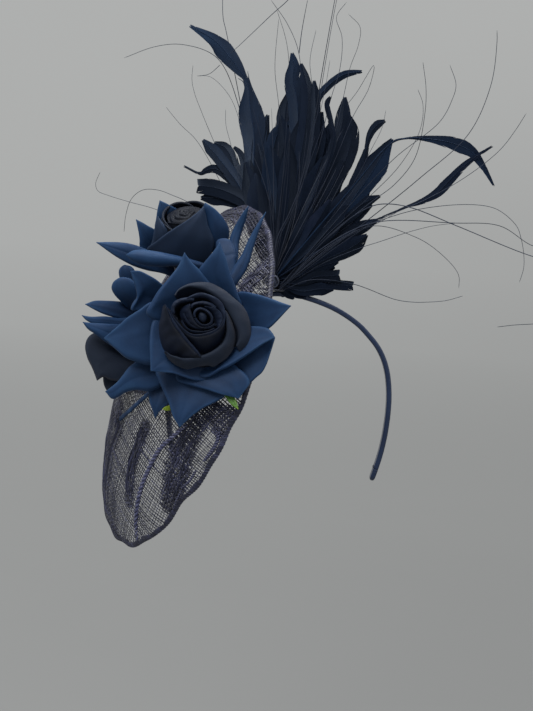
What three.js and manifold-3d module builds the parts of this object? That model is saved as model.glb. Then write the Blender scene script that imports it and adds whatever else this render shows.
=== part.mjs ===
// Fascinator headpiece: a satin-covered headband carrying a domed oval sinamay disc,
// three silk roses and a spray of feathers. Millimetres, +Z up.
// Origin: inner face of the headband at its crown. +X is the wearer's left, -Y the front.
import * as THREE from 'three';
import { mergeVertices } from 'three/addons/utils/BufferGeometryUtils.js';
import Module from 'manifold-3d';

const wasm = await Module();
wasm.setup();

// ---------------------------------------------------------------- driving dimensions
const BAND_WIDTH = 9.0;        // front to back
const BAND_THICKNESS = 3.4;    // radial, satin included
const COVER_WALL = 0.6;        // satin over the core
const FIT_GAP = 0.35;          // clearance between separate pieces
const FLEX_X = 20.0;           // where the left arm flexes
const FLEX_GAP = 0.5;          // slit between the two halves of the band
const TIP_LENGTH = 9.0;        // folded end of the satin

const DISC_HALF_LENGTH = 117.4;
const DISC_HALF_WIDTH = 82.0;
const DISC_RISE = 26.0;        // height of the dome
const DISC_POWER = 2.3;        // dome profile exponent
const DISC_CENTRE = new THREE.Vector3(-62.9, -25, -54.7);
const DISC_DOWN = new THREE.Vector3(-0.3006, -0.0244, -0.9534).normalize();
const DISC_FRONT = new THREE.Vector3(0.4914, -0.8608, -0.1329).normalize();
const DISC_OUT = new THREE.Vector3().crossVectors(DISC_DOWN, DISC_FRONT).normalize();
const LAYER = 0.7;             // one sinamay layer
const LAYER_GAP = 0.7;         // air between the two layers
const WIRE_R = 0.65;           // brim wire

const ROOT_X = -10.0;          // axis of the feather binding
const ROOT_Z = 9.9;
const ROOT_Y = 2.0;
const BINDING_R = 4.6;
const BINDING_LENGTH = 30.0;
const VANE = 0.5;              // feather thickness
const PITCH_ROOT = 0.9;        // depth between neighbouring feathers at the binding
const PITCH_GROWTH = 0.0125;   // how the spray fans out with distance

// ---------------------------------------------------------------- materials
const mat = (hex, roughness, metalness = 0) =>
  new THREE.MeshStandardMaterial({ color: hex, roughness, metalness });
const SATIN = mat(0x1c2f5c, 0.38);
const CORE = mat(0x23262e, 0.6);
const SINAMAY = mat(0x2b2d4e, 0.7);
const WIRE = mat(0x30323c, 0.4, 0.7);
const FELT = mat(0x141b30, 0.95);
const FEATHER = mat(0x141b2c, 0.6);
const QUILL = mat(0x1c2233, 0.45);
const PETAL_BLUE = mat(0x2c4a72, 0.75);
const PETAL_DARK = mat(0x1c2338, 0.8);
const PETAL_GREY = mat(0x2c3442, 0.8);
const LEAF = mat(0x5f8f2c, 0.7);

// ---------------------------------------------------------------- helpers
function clean(geometry) {
  const g = geometry.clone();
  g.deleteAttribute('normal');
  g.deleteAttribute('uv');
  if (g.hasAttribute('uv1')) g.deleteAttribute('uv1');
  return mergeVertices(g, 1e-4);
}

function solid(geometry) {
  const g = clean(geometry);
  return new wasm.Manifold(new wasm.Mesh({
    numProp: 3,
    vertProperties: new Float32Array(g.attributes.position.array),
    triVerts: new Uint32Array(g.index.array),
  }));
}

function geometryOf(manifold) {
  const m = manifold.getMesh();
  const g = new THREE.BufferGeometry();
  g.setAttribute('position', new THREE.BufferAttribute(new Float32Array(m.vertProperties), 3));
  g.setIndex(new THREE.BufferAttribute(new Uint32Array(m.triVerts), 1));
  g.computeVertexNormals();
  return g;
}

function largest(manifold) {
  const parts = manifold.decompose();
  let best = parts[0];
  for (const p of parts) if (p.volume() > best.volume()) best = p;
  return best;
}

const root = new THREE.Group();
function put(name, geometry, material) {
  let g = clean(geometry);
  g.computeVertexNormals();
  const mesh = new THREE.Mesh(g, material);
  mesh.name = name;
  root.add(mesh);
  return mesh;
}

// A box whose vertices are carried by fn(u, v, w), u and v in [-1, 1], w in [-0.5, 0.5].
function slab(nu, nv, fn) {
  const g = new THREE.BoxGeometry(2, 2, 1, nu, nv, 1);
  const p = g.attributes.position;
  for (let i = 0; i < p.count; i++) {
    const q = fn(p.getX(i), p.getY(i), p.getZ(i));
    p.setXYZ(i, q.x, q.y, q.z);
  }
  return g;
}

function mapped(geometry, fn) {
  const p = geometry.attributes.position;
  for (let i = 0; i < p.count; i++) {
    const q = fn(p.getX(i), p.getY(i), p.getZ(i));
    p.setXYZ(i, q.x, q.y, q.z);
  }
  return geometry;
}

// ---------------------------------------------------------------- headband
// Centreline of the right-hand half (x, z); the other half mirrors it.
const BAND_LINE = [
  [0, 1.7], [7, 1.7], [15.1, 0.1], [23, -2], [31.6, -5], [40.9, -9.5], [50.4, -15.7],
  [56.8, -21.6], [63.4, -28.9], [68.2, -37], [71.3, -45.9], [72.7, -53], [73.7, -62],
  [73.9, -71.1], [73.6, -79], [72.6, -90], [70.6, -102], [67.6, -114], [66, -119.5],
];
const bandHalf = new THREE.CurvePath();
for (let i = 0; i + 1 < BAND_LINE.length; i++) {
  bandHalf.add(new THREE.LineCurve3(
    new THREE.Vector3(BAND_LINE[i][0], 0, BAND_LINE[i][1]),
    new THREE.Vector3(BAND_LINE[i + 1][0], 0, BAND_LINE[i + 1][1])));
}
const BAND_CUM = [0];
for (let i = 0; i + 1 < BAND_LINE.length; i++) {
  BAND_CUM.push(BAND_CUM[i] + Math.hypot(BAND_LINE[i + 1][0] - BAND_LINE[i][0], BAND_LINE[i + 1][1] - BAND_LINE[i][1]));
}
const BAND_HALF_LENGTH = BAND_CUM[BAND_CUM.length - 1];
// Signed distance s along the band (negative on the wearer's right), h outward, y across.
function bandPoint(s, h, y) {
  const a = Math.abs(s), sign = s < 0 ? -1 : 1;
  let i = 0;
  while (i < BAND_CUM.length - 2 && BAND_CUM[i + 1] < a) i++;
  const t = (a - BAND_CUM[i]) / (BAND_CUM[i + 1] - BAND_CUM[i]);
  const x = BAND_LINE[i][0] + t * (BAND_LINE[i + 1][0] - BAND_LINE[i][0]);
  const z = BAND_LINE[i][1] + t * (BAND_LINE[i + 1][1] - BAND_LINE[i][1]);
  // averaged normal at the vertices keeps the section continuous
  const dir = (k) => {
    const k0 = Math.max(0, Math.min(BAND_LINE.length - 2, k));
    const v = new THREE.Vector2(BAND_LINE[k0 + 1][0] - BAND_LINE[k0][0], BAND_LINE[k0 + 1][1] - BAND_LINE[k0][1]);
    return v.normalize();
  };
  // the crown, up to the second vertex, is flat so that it seats on the head
  const joint = (k) => (k <= 1 ? new THREE.Vector2(1, 0) : dir(k - 1).clone().add(dir(k)).normalize());
  const n0 = joint(i), n1 = i >= BAND_LINE.length - 2 ? dir(i) : joint(i + 1);
  const d = new THREE.Vector2().lerpVectors(n0, n1, t).normalize();
  const nx = -d.y, nz = d.x;          // outward for the right-hand half
  return new THREE.Vector3(sign * (x + nx * h), y, z + nz * h);
}
function sOfX(x) {
  let i = 0;
  while (BAND_LINE[i + 1][0] < x) i++;
  return BAND_CUM[i] + (x - BAND_LINE[i][0]) / (BAND_LINE[i + 1][0] - BAND_LINE[i][0]) * (BAND_CUM[i + 1] - BAND_CUM[i]);
}
const S_FLEX = sOfX(FLEX_X);

function roundedRect(hx, hy, r) {
  const s = new THREE.Shape();
  s.moveTo(-hx + r, -hy); s.lineTo(hx - r, -hy); s.lineTo(hx, -hy + r); s.lineTo(hx, hy - r);
  s.lineTo(hx - r, hy); s.lineTo(-hx + r, hy); s.lineTo(-hx, hy - r); s.lineTo(-hx, -hy + r);
  s.closePath();
  return s;
}
function stations(s0, s1) {
  const out = [s0];
  const marks = [];
  for (const c of BAND_CUM) { marks.push(c); if (c > 0) marks.push(-c); }
  marks.sort((a, b) => a - b);
  for (const c of marks) if (c > s0 + 1.5 && c < s1 - 1.5) out.push(c);
  out.push(s1);
  return out;
}
// Band section hx (across) by hy (radial) carried from s0 to s1, with an optional bore.
function bandRun(s0, s1, hx, hy, bevel, bore) {
  const shape = roundedRect(hx, hy, bevel);
  if (bore) {
    const h = roundedRect(bore[0], bore[1], 0.3);
    shape.holes.push(h);
  }
  const st = stations(s0, s1);
  const g = new THREE.ExtrudeGeometry(shape, { depth: st.length - 1, steps: st.length - 1, bevelEnabled: false });
  return mapped(g, (x, y, z) => {
    const k = Math.min(st.length - 2, Math.floor(z + 1e-6));
    const s = st[k] + (z - k) * (st[k + 1] - st[k]);
    return bandPoint(s, y, x);
  });
}
function outward(g) {
  const m = solid(g);
  if (m.volume() >= 0 && m.numTri() > 0) return g;
  const idx = clean(g);
  const a = idx.index.array;
  for (let i = 0; i < a.length; i += 3) { const t = a[i]; a[i] = a[i + 1]; a[i + 1] = t; }
  return idx;
}
const HX = BAND_WIDTH / 2, HY = BAND_THICKNESS / 2;
const CORE_X = HX - COVER_WALL - FIT_GAP, CORE_Y = HY - COVER_WALL - FIT_GAP;
const TIP_S = BAND_HALF_LENGTH - TIP_LENGTH;
const sRight0 = -TIP_S, sRight1 = S_FLEX - FLEX_GAP / 2;
const sLeft0 = S_FLEX + FLEX_GAP / 2, sLeft1 = TIP_S;
const coverRun = (a, b) => outward(bandRun(a, b, HX, HY, 0.8, [HX - COVER_WALL, HY - COVER_WALL]));
const coreRun = (a, b) => outward(bandRun(a, b, CORE_X, CORE_Y, 0.25));
put('band_cover_right', coverRun(sRight0, sRight1), SATIN);
put('band_cover_left', coverRun(sLeft0, sLeft1), SATIN);
put('band_core_right', coreRun(sRight0 - 4, sRight1 - 0.6), CORE);
put('band_core_left', coreRun(sLeft0 + 0.6, sLeft1 + 4), CORE);
function tip(sign) {
  // a folded satin end: a cap with a socket that takes the end of the core
  const a = TIP_S + FIT_GAP, b = BAND_HALF_LENGTH;
  const cap = outward(sign > 0 ? bandRun(a, b, HX, HY, 0.8) : bandRun(-b, -a, HX, HY, 0.8));
  const c = outward(sign > 0 ? bandRun(a - 3, TIP_S + 4 + FIT_GAP, CORE_X + FIT_GAP, CORE_Y + FIT_GAP, 0.25)
    : bandRun(-(TIP_S + 4 + FIT_GAP), -(a - 3), CORE_X + FIT_GAP, CORE_Y + FIT_GAP, 0.25));
  return geometryOf(largest(solid(cap).subtract(solid(c))));
}
put('band_tip_right', tip(-1), SATIN);
put('band_tip_left', tip(1), SATIN);

// ---------------------------------------------------------------- sinamay disc
const rise = (rho) => DISC_RISE * (1 - Math.pow(Math.min(rho / DISC_HALF_LENGTH, 1.0), DISC_POWER));
function discPoint(lx, ly, h, extra = 0) {
  // lx, ly on a circle of radius DISC_HALF_LENGTH; the width is scaled to the oval
  const rho = Math.hypot(lx, ly);
  return DISC_CENTRE.clone()
    .addScaledVector(DISC_DOWN, lx)
    .addScaledVector(DISC_FRONT, ly * DISC_HALF_WIDTH / DISC_HALF_LENGTH)
    .addScaledVector(DISC_OUT, rise(rho) + h + extra);
}
function discLathe(profile, segments) {
  const g = new THREE.LatheGeometry(profile.map(([r, h]) => new THREE.Vector2(r, h)), segments);
  // lathe axis is Y: (r sin, h, r cos)
  return outward(mapped(g, (x, y, z) => discPoint(x, z, y)));
}
const RINGS = [0, 30, 54, 76, 96, 114.2];
function layerProfile(h0, h1, rmax) {
  const rs = RINGS.map((r) => Math.min(r, rmax));
  return [...rs.map((r) => [r, h0]), ...rs.slice().reverse().map((r) => [r, h1])];
}
const DISC_SEG = 32;
put('sinamay_outer_layer', discLathe(layerProfile(LAYER_GAP / 2, LAYER_GAP / 2 + LAYER, 114.2), DISC_SEG), SINAMAY);
put('sinamay_inner_layer', discLathe(layerProfile(-LAYER_GAP / 2 - LAYER, -LAYER_GAP / 2, 114.2), DISC_SEG), SINAMAY);
const rimR = 115.9;
put('brim_wire', discLathe(Array.from({ length: 7 }, (_, i) => {
  const a = -Math.PI / 2 + i / 6 * 2 * Math.PI;
  return [rimR + WIRE_R * Math.cos(a), WIRE_R * Math.sin(a)];
}), 32), WIRE);
put('bias_binding', discLathe([
  [112.4, 1.7], [115.6, 1.75], [117.6, 0], [115.6, -1.75], [112.4, -1.7],
  [112.4, -1.42], [115.4, -1.42], [117.0, 0], [115.4, 1.42], [112.4, 1.42], [112.4, 1.7],
], 32), SATIN);

// thick dome used only as a cutter: everything under the outer face of the disc
const domeCutter = solid(discLathe([
  [0, -22], [119, -22], [119, 2.4], [104, LAYER_GAP / 2 + LAYER + 0.4], [91, LAYER_GAP / 2 + LAYER + 0.4],
  [76, LAYER_GAP / 2 + LAYER + 0.4], [60, LAYER_GAP / 2 + LAYER + 0.4], [42, LAYER_GAP / 2 + LAYER + 0.4],
  [22, LAYER_GAP / 2 + LAYER + 0.4], [0, LAYER_GAP / 2 + LAYER + 0.4],
], DISC_SEG));

// ---------------------------------------------------------------- riser between band and disc
const RISER_L = 20, RISER_M = 11;            // half sizes along and across the disc
const RISER_AT = [4, -24];                   // position under the disc (down, front)
{
  const g = new THREE.CylinderGeometry(1, 1, 1, 20, 1);
  mapped(g, (x, y, z) => {
    const lx = RISER_AT[0] + x * RISER_L, ly = RISER_AT[1] + z * RISER_M;
    const rho = Math.hypot(lx, ly * DISC_HALF_LENGTH / DISC_HALF_WIDTH);
    const h = y > 0 ? rise(rho) - LAYER_GAP / 2 - LAYER - FIT_GAP - 0.25 : -3.0;
    return DISC_CENTRE.clone().addScaledVector(DISC_DOWN, lx).addScaledVector(DISC_FRONT, ly).addScaledVector(DISC_OUT, h);
  });
  const slot = solid(outward(bandRun(-TIP_S, -20, HX + FIT_GAP, HY + FIT_GAP, 0.8)));
  // remove what would sit on the head side of the band
  const inner = solid(outward(mapped(bandRun(-TIP_S, -20, 40, 10, 0.8), (x, y, z) => new THREE.Vector3(x, y, z))));
  const shift = solid(outward((() => {
    const st = stations(-TIP_S, -20);
    const gg = new THREE.ExtrudeGeometry(roundedRect(40, 9, 0.5), { depth: st.length - 1, steps: st.length - 1, bevelEnabled: false });
    return mapped(gg, (x, y, z) => {
      const k = Math.min(st.length - 2, Math.floor(z + 1e-6));
      const s = st[k] + (z - k) * (st[k + 1] - st[k]);
      return bandPoint(s, y - 9 - 0.2, x);
    });
  })()));
  const pad = largest(solid(outward(g)).subtract(slot).subtract(shift));
  put('bandeau_riser', geometryOf(pad), FELT);
}
// tie stitches round the band, above and below the riser
function stitch(s) {
  const g = new THREE.TorusGeometry(1, 0.1, 5, 16);
  return outward(mapped(g, (x, y, z) => {
    const a = Math.atan2(y, x), rr = Math.hypot(x, y) - 1;
    const c = Math.cos(a), sn = Math.sin(a);
    const k = 1 / Math.pow(Math.pow(Math.abs(c), 6) + Math.pow(Math.abs(sn), 6), 1 / 6);
    const ex = (HX + 0.9) * c * k, ey = (HY + 0.9) * sn * k;
    const l = Math.hypot(ex, ey);
    return bandPoint(s + z * 4.5, ey + rr * 4.5 * ey / l, ex + rr * 4.5 * ex / l);
  }));
}
put('band_stitch_1', stitch(-72), FELT);
put('band_stitch_2', stitch(-128), FELT);

// ---------------------------------------------------------------- feather mount
{
  const padG = new THREE.CylinderGeometry(1, 1, 1, 20, 1);
  put('feather_mount_pad', outward(mapped(padG, (x, y, z) =>
    new THREE.Vector3(ROOT_X + 10 * x, ROOT_Y + 15 * z, BAND_THICKNESS + FIT_GAP + (y > 0 ? 1.2 : 0)))), FELT);
  const b = new THREE.CylinderGeometry(BINDING_R, BINDING_R, BINDING_LENGTH, 16, 4);
  put('feather_mount_binding', outward(mapped(b, (x, y, z) => {
    const k = 1 - 0.1 * Math.pow(Math.abs(y) / (BINDING_LENGTH / 2), 4);
    return new THREE.Vector3(ROOT_X + x * k, ROOT_Y + y, ROOT_Z - z * k);
  })), FELT);
}
// ---------------------------------------------------------------- feathers
// name: [depth index, [x, z, half width] from root to tip]
const FEATHERS = {
  feather_crest_tall: [8, [[-11.5,15.0,0.8],[-24.5,60.3,2.6],[-27.8,87.2,5.9],[-29.2,107.5,7.9],[-33.2,125.6,5.9],[-36.1,142.4,1.3],[-42.5,151.5,4.6],[-50.6,160.5,5.9],[-60.1,169.5,3.3],[-77.9,178.6,0.7]]],
  feather_left_upper: [11, [[-12.1,14.8,0.8],[-24.7,43.4,2.0],[-36.3,71.3,3.0],[-45.3,83.0,3.0],[-52.8,91.4,3.0],[-58.0,96.5,2.6],[-63.9,102.3,0.7]]],
  feather_left_curved: [12, [[-12.3,14.7,0.8],[-27.7,46.7,1.3],[-39.0,71.2,2.0],[-47.9,80.2,2.0],[-55.0,83.5,2.0],[-60.4,81.8,1.3],[-64.0,79.5,0.7],[-75.8,83.9,0.7]]],
  feather_left_square: [7, [[-12.1,14.8,0.8],[-23.1,40.1,2.0],[-32.0,61.1,3.3],[-44.0,67.7,3.3],[-55.1,70.3,3.3],[-64.6,70.4,2.6]]],
  feather_centre_rear: [5, [[-10.4,15.2,0.8],[-13.4,57.5,4.0],[-11.1,91.4,4.6],[-9.4,115.1,4.6],[-8.8,126.5,4.0],[-7.6,138.1,0.7]]],
  feather_centre_front: [2, [[-9.3,15.1,0.8],[-5.1,44.6,3.3],[-0.8,78.3,4.6],[0.2,111.8,5.3],[-1.9,131.6,5.3],[-5.5,144.6,4.6],[-5.5,153.9,3.0],[-7.4,162.4,0.7]]],
  feather_centre_narrow: [1, [[-9.1,15.1,0.8],[-3.8,44.6,2.6],[2.1,85.1,3.3],[5.0,118.6,3.3],[4.7,137.1,2.6],[2.4,146.2,2.0],[-0.9,155.5,0.7]]],
  feather_centre_crescent: [4, [[-8.6,15.0,0.8],[4.9,65.5,0.7],[11.0,112.9,0.7],[12.8,135.2,1.8],[17.0,141.5,1.8],[22.7,147.3,1.8],[29.1,151.7,1.7],[40.4,154.4,0.7]]],
  feather_centre_right: [0, [[-7.6,14.6,0.8],[6.4,42.0,2.6],[18.7,76.2,3.3],[25.7,99.9,3.6],[29.1,116.7,3.6],[29.7,126.7,2.6],[29.8,135.2,0.7]]],
  feather_centre_right_outer: [-1, [[-6.9,14.2,0.8],[5.8,31.9,2.6],[18.5,59.5,3.3],[30.0,85.5,4.0],[34.9,100.4,4.0],[35.9,113.7,3.0],[33.2,123.4,0.7]]],
  feather_right_slender: [-2, [[-5.9,13.3,0.8],[4.5,21.8,2.0],[19.8,40.9,2.6],[31.9,59.0,3.3],[39.4,74.1,3.3],[44.3,89.0,2.6],[46.0,101.0,1.0],[47.9,111.0,2.0],[52.0,117.8,2.0],[57.1,120.8,0.7]]],
  feather_right_broad: [-4, [[-5.7,13.0,0.8],[1.4,18.2,2.6],[16.8,36.0,4.0],[32.0,54.9,5.3],[42.6,72.8,6.6],[50.8,86.5,7.9],[58.2,101.5,3.3],[62.3,108.9,0.7]]],
  feather_right_low: [-3, [[-5.4,12.6,0.8],[4.7,18.4,2.6],[20.4,32.9,3.3],[36.2,44.0,3.3],[47.1,50.0,3.0],[57.3,55.4,0.7]]],
  feather_right_low_front: [-6, [[-4.8,11.0,0.8],[5.0,13.2,2.6],[19.6,24.2,3.3],[33.6,31.8,4.0],[43.1,37.8,4.0],[50.5,44.9,0.7]]],
  feather_right_short: [-7, [[-4.7,9.8,0.8],[8.6,9.4,2.6],[18.2,14.8,3.0],[28.1,16.1,2.6],[34.0,17.2,2.6]]],
  feather_right_short_front: [-5, [[-4.8,8.9,0.8],[12.3,5.6,2.6],[25.2,11.2,3.0],[35.2,10.6,2.5],[43.6,10.5,2.3]]],
  feather_middle_front: [-8, [[-6.8,14.1,0.8],[3.9,28.4,4.0],[15.6,49.0,4.0],[24.3,66.0,0.7]]],
  feather_arrow_upper: [-9, [[-6.9,14.2,0.8],[36.8,73.3,0.7],[61.5,105.6,0.7],[70.3,108.8,0.7],[85.8,109.4,2.6],[102.1,107.2,5.3],[113.4,102.8,3.3],[122.0,93.1,1.7],[129.7,81.3,0.7]]],
  feather_arrow_lower: [-10, [[-5.7,13.1,0.8],[35.7,43.8,0.7],[72.9,64.2,0.7],[82.6,68.4,2.0],[93.0,74.9,3.3],[100.6,83.8,2.6],[109.3,94.0,2.0],[118.2,101.6,1.0],[125.9,107.2,0.7]]],
  quill_left_loop: [14, [[-11.3,15.0,0.8],[-25.4,70.9,0.7],[-40.3,125.2,0.7],[-58.8,160.4,0.7],[-83.1,168.3,0.7],[-102.5,165.7,0.7],[-123.6,156.6,0.7]]],
  quill_top_left: [13, [[-11.3,15.0,0.8],[-29.1,84.3,0.7],[-44.5,145.6,0.7],[-53.8,179.2,0.7],[-56.6,188.8,0.7],[-58.6,216.1,0.7]]],
  quill_top_double: [-11, [[-9.1,15.1,0.8],[-2.6,53.6,0.7],[3.1,70.6,0.7],[6.6,89.2,0.7],[8.4,108.6,0.7],[10.6,122.1,0.7],[11.6,134.8,0.7],[12.3,143.0,0.7],[19.4,207.8,0.7]]],
  quill_right_top: [-12, [[-5.7,13.0,0.8],[41.8,47.4,0.7],[80.8,83.6,0.7],[109.1,113.3,0.7],[120.3,144.8,0.7],[120.8,178.8,0.7]]],
  quill_right_long: [-13, [[-6.0,13.4,0.8],[38.0,52.3,0.7],[62.5,65.6,0.7],[77.1,64.0,0.7],[106.7,54.3,0.7],[156.0,38.0,0.7],[173.0,35.7,0.7]]],
  quill_right_long_rear: [-14, [[-5.8,13.1,0.8],[19.9,32.8,0.7],[52.5,51.9,0.7],[104.6,56.0,0.7],[133.3,56.0,0.7],[154.9,44.7,0.7],[169.1,44.4,0.7]]],
  quill_right_lowest: [-15, [[-4.7,10.5,0.8],[14.8,12.7,0.7],[42.9,12.1,0.7],[70.6,4.1,0.7],[92.4,4.1,0.7],[114.2,0.6,0.7],[136.2,-8.7,0.7],[170.0,-2.8,0.7]]],
};
const pitch = (r) => PITCH_ROOT + PITCH_GROWTH * r;
function featherGeometry(index, rows, steps, sides) {
  const line = new THREE.CatmullRomCurve3(rows.map(([x, z]) => new THREE.Vector3(x, 0, z)), false, 'centripetal');
  const n = rows.length - 1;
  const widthAt = (t) => {
    const f = Math.min(n - 1e-6, Math.max(0, t * n));
    const i = Math.floor(f);
    return rows[i][2] + (f - i) * (rows[i + 1][2] - rows[i][2]);
  };
  return outward(slab(sides, steps, (u, v, w) => {
    const t = (v + 1) / 2;
    const c = line.getPoint(t);
    const d = line.getTangent(t);
    const hw = widthAt(t);
    const x = c.x - d.z * hw * u, z = c.z + d.x * hw * u;
    const r = Math.hypot(x - ROOT_X, z - ROOT_Z);
    return new THREE.Vector3(x, ROOT_Y + index * pitch(r) + w * VANE, z);
  }));
}
for (const [name, [index, rows]] of Object.entries(FEATHERS)) {
  const quill = name.startsWith('quill');
  put(name, featherGeometry(index, rows, quill ? 13 : 11, quill ? 1 : 2), quill ? QUILL : FEATHER);
}

// ---------------------------------------------------------------- roses
function frameOf(base, axis) {
  const Z = axis.clone().normalize();
  const X = new THREE.Vector3(1, 0, 0).addScaledVector(Z, -Z.x).normalize();
  const Y = new THREE.Vector3().crossVectors(Z, X).normalize();
  return (x, y, z) => base.clone().addScaledVector(X, x).addScaledVector(Y, y).addScaledVector(Z, z);
}
// One petal: az (degrees), base (rho, z), belly control, tip (rho, z), half width, cup radius.
function petal(place, p, grow = 0) {
  const [az, rb, zb, rc, zc, rt, zt, w, cup, th = 0.9] = p;
  const ca = Math.cos(az * Math.PI / 180), sa = Math.sin(az * Math.PI / 180);
  const nu = 3, nv = 4;
  return outward(slab(nu, nv, (u, v, ww) => {
    const t = (v + 1) / 2 * (1 + 0.02 * (grow > 0 ? 1 : 0));
    const a = (1 - t) * (1 - t), b = 2 * t * (1 - t), c = t * t;
    let rho = a * rb + b * rc + c * rt, z = a * zb + b * zc + c * zt;
    let dr = 2 * (1 - t) * (rc - rb) + 2 * t * (rt - rc), dz = 2 * (1 - t) * (zc - zb) + 2 * t * (zt - zc);
    const l = Math.hypot(dr, dz); dr /= l; dz /= l;
    // inward normal of the meridian
    const nr = -dz, nz = dr;
    const shape = Math.pow(Math.sin(Math.PI * (0.1 + 0.8 * t)), 0.7);
    const half = w * shape + grow * 0.6;
    const s = u * half * 1.0;
    // rounded tip: pull the corners of the outer edge back
    const back = t > 0.6 ? (t - 0.6) / 0.4 * u * u * w * 0.22 : 0;
    const ang = s / cup;
    const lat = cup * Math.sin(ang), inn = cup * (1 - Math.cos(ang));
    const e = ww * (th + 2 * grow);
    rho += nr * inn + nr * e - dr * back;
    z += nz * inn + nz * e - dz * back;
    return place(rho * ca - lat * sa, rho * sa + lat * ca, z);
  }));
}
function lathe(place, profile, seg = 14) {
  const g = new THREE.LatheGeometry(profile.map(([r, h]) => new THREE.Vector2(r, h)), seg);
  return outward(mapped(g, (x, y, z) => place(x, z, y)));
}
const hub = (place, z0, z1, r, grow = 0) => lathe(place, [[0, z0 - grow], [r + grow, z0 - grow], [r + grow, z1 + grow], [0, z1 + grow]], 12);

// A rose is a list of layers from the innermost out; each layer is joined at its own hub,
// and is cut clear of the layers already placed.
function rose(prefix, base, axis, layers, cutters) {
  const place = frameOf(base, axis);
  let taken = null;
  for (const layer of layers) {
    const build = (grow) => {
      const pieces = [];
      if (layer.profile) {
        const pr = layer.profile.map(([r, h]) => [r <= 0 ? 0 : r + grow, h]);
        if (grow > 0) { pr[0][1] -= grow; pr[pr.length - 1][1] += grow; }
        pieces.push(solid(lathe(place, pr, layer.seg || 14)));
      }
      if (layer.hub) pieces.push(solid(hub(place, layer.hub[0], layer.hub[1], layer.hub[2], grow)));
      for (const p of layer.petals || []) pieces.push(solid(petal(place, p, grow)));
      let m = pieces[0];
      for (let i = 1; i < pieces.length; i++) m = m.add(pieces[i]);
      return m;
    };
    let m = build(0);
    if (taken) m = m.subtract(taken);
    for (const c of cutters) m = m.subtract(c);
    m = largest(m);
    put(prefix + '_' + layer.name, geometryOf(m), layer.material);
    const g = build(0.34);
    taken = taken ? taken.add(g) : g;
  }
  return taken;
}

// front main rose
const takenA = rose('rose_a', new THREE.Vector3(-52.4, -67.7, -28.6), new THREE.Vector3(0.095, -0.95, 0.245), [
  { name: 'bud', material: PETAL_DARK, profile: [[0, 18], [4, 19], [6.2, 26], [5.4, 34], [2.6, 40], [0, 41]], seg: 12 },
  { name: 'spiral', material: PETAL_DARK, hub: [15.4, 17.0, 5], petals: [
    [60, 3, 16.2, 13, 24, 10.5, 41, 11, 11], [180, 3, 16.2, 13.5, 24, 11, 40, 11, 11], [300, 3, 16.2, 14, 24, 11.5, 39, 11, 11]] },
  { name: 'ring_petals', material: PETAL_GREY, hub: [12.6, 14.4, 6], petals: [
    [95, 4, 13.5, 24, 20, 25, 41, 21, 26], [215, 4, 13.5, 25, 20, 26, 39, 21, 26], [335, 4, 13.5, 24, 20, 25, 40, 21, 26]] },
  { name: 'mid_petals', material: PETAL_BLUE, hub: [9.8, 11.6, 7], petals: [
    [40, 5, 10.7, 34, 18, 38, 37, 21, 40], [130, 5, 10.7, 34, 16, 38, 33, 21, 40],
    [222, 5, 10.7, 33, 14, 37, 29, 21, 40], [312, 5, 10.7, 34, 17, 38, 35, 21, 40]] },
  { name: 'outer_petals', material: PETAL_BLUE, hub: [6.6, 8.8, 8], petals: [
    [82, 6, 7.7, 38, 13, 54, 26, 19, 60], [14, 6, 7.7, 40, 26, 56, 36, 16, 60], [-36, 6, 7.7, 36, 22, 48, 33, 24, 50],
    [-64, 6, 7.7, 34, 11, 50, 24, 16, 60], [-102, 6, 7.7, 38, 7, 60, 12, 18, 60], [186, 6, 7.7, 36, 3, 58, 6, 20, 60],
    [216, 6, 7.7, 36, 1, 62, -4, 15, 60], [108, 6, 7.7, 34, 10, 49, 24, 16, 60]] },
  { name: 'sepals', material: LEAF, hub: [3.6, 5.6, 6], petals: [
    [-67, 3, 4.6, 34, 5, 54, 22, 3.5, 30, 0.8], [-118, 3, 4.6, 32, 2, 52, 6, 3.5, 30, 0.8],
    [150, 3, 4.6, 16, 2, 27, -4, 4, 20, 0.8], [40, 3, 4.6, 16, 12, 26, 24, 4, 20, 0.8]] },
  { name: 'calyx', material: LEAF, profile: [[0, 1.4], [3.0, 1.4], [3.4, 2.2], [3.0, 3.1], [0, 3.1]], seg: 10 },
], [domeCutter]);
// upper rose
const takenB = rose('rose_b', new THREE.Vector3(-64.8, -15.5, 19), new THREE.Vector3(-0.1, -0.55, 0.83), [
  { name: 'bud', material: PETAL_DARK, profile: [[0, 12.5], [6, 14], [12.5, 22], [13, 31], [8, 40], [0, 43]], seg: 14 },
  { name: 'inner_petals', material: PETAL_BLUE, hub: [9, 11, 5], petals: [
    [100, 3, 10, 18, 14, 17, 36, 14, 18], [225, 3, 10, 20, 13, 22, 30, 15, 20], [330, 3, 10, 20, 16, 23, 34, 13, 20]] },
  { name: 'outer_petals', material: PETAL_BLUE, hub: [4.6, 6.8, 7], petals: [
    [10, 5, 5.7, 30, 26, 42, 40, 11, 40], [38, 5, 5.7, 26, 24, 34, 42, 9, 40], [182, 5, 5.7, 34, 6, 56, 4, 15, 50],
    [150, 5, 5.7, 30, 10, 40, 14, 13, 50], [215, 5, 5.7, 28, 4, 44, 0, 14, 50], [270, 5, 5.7, 20, 6, 30, 8, 14, 50]] },
  { name: 'calyx', material: LEAF, profile: [[0, 1.6], [3.4, 1.6], [4.0, 2.8], [3.2, 4.1], [0, 4.1]], seg: 10 },
], [domeCutter, takenA]);
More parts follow.
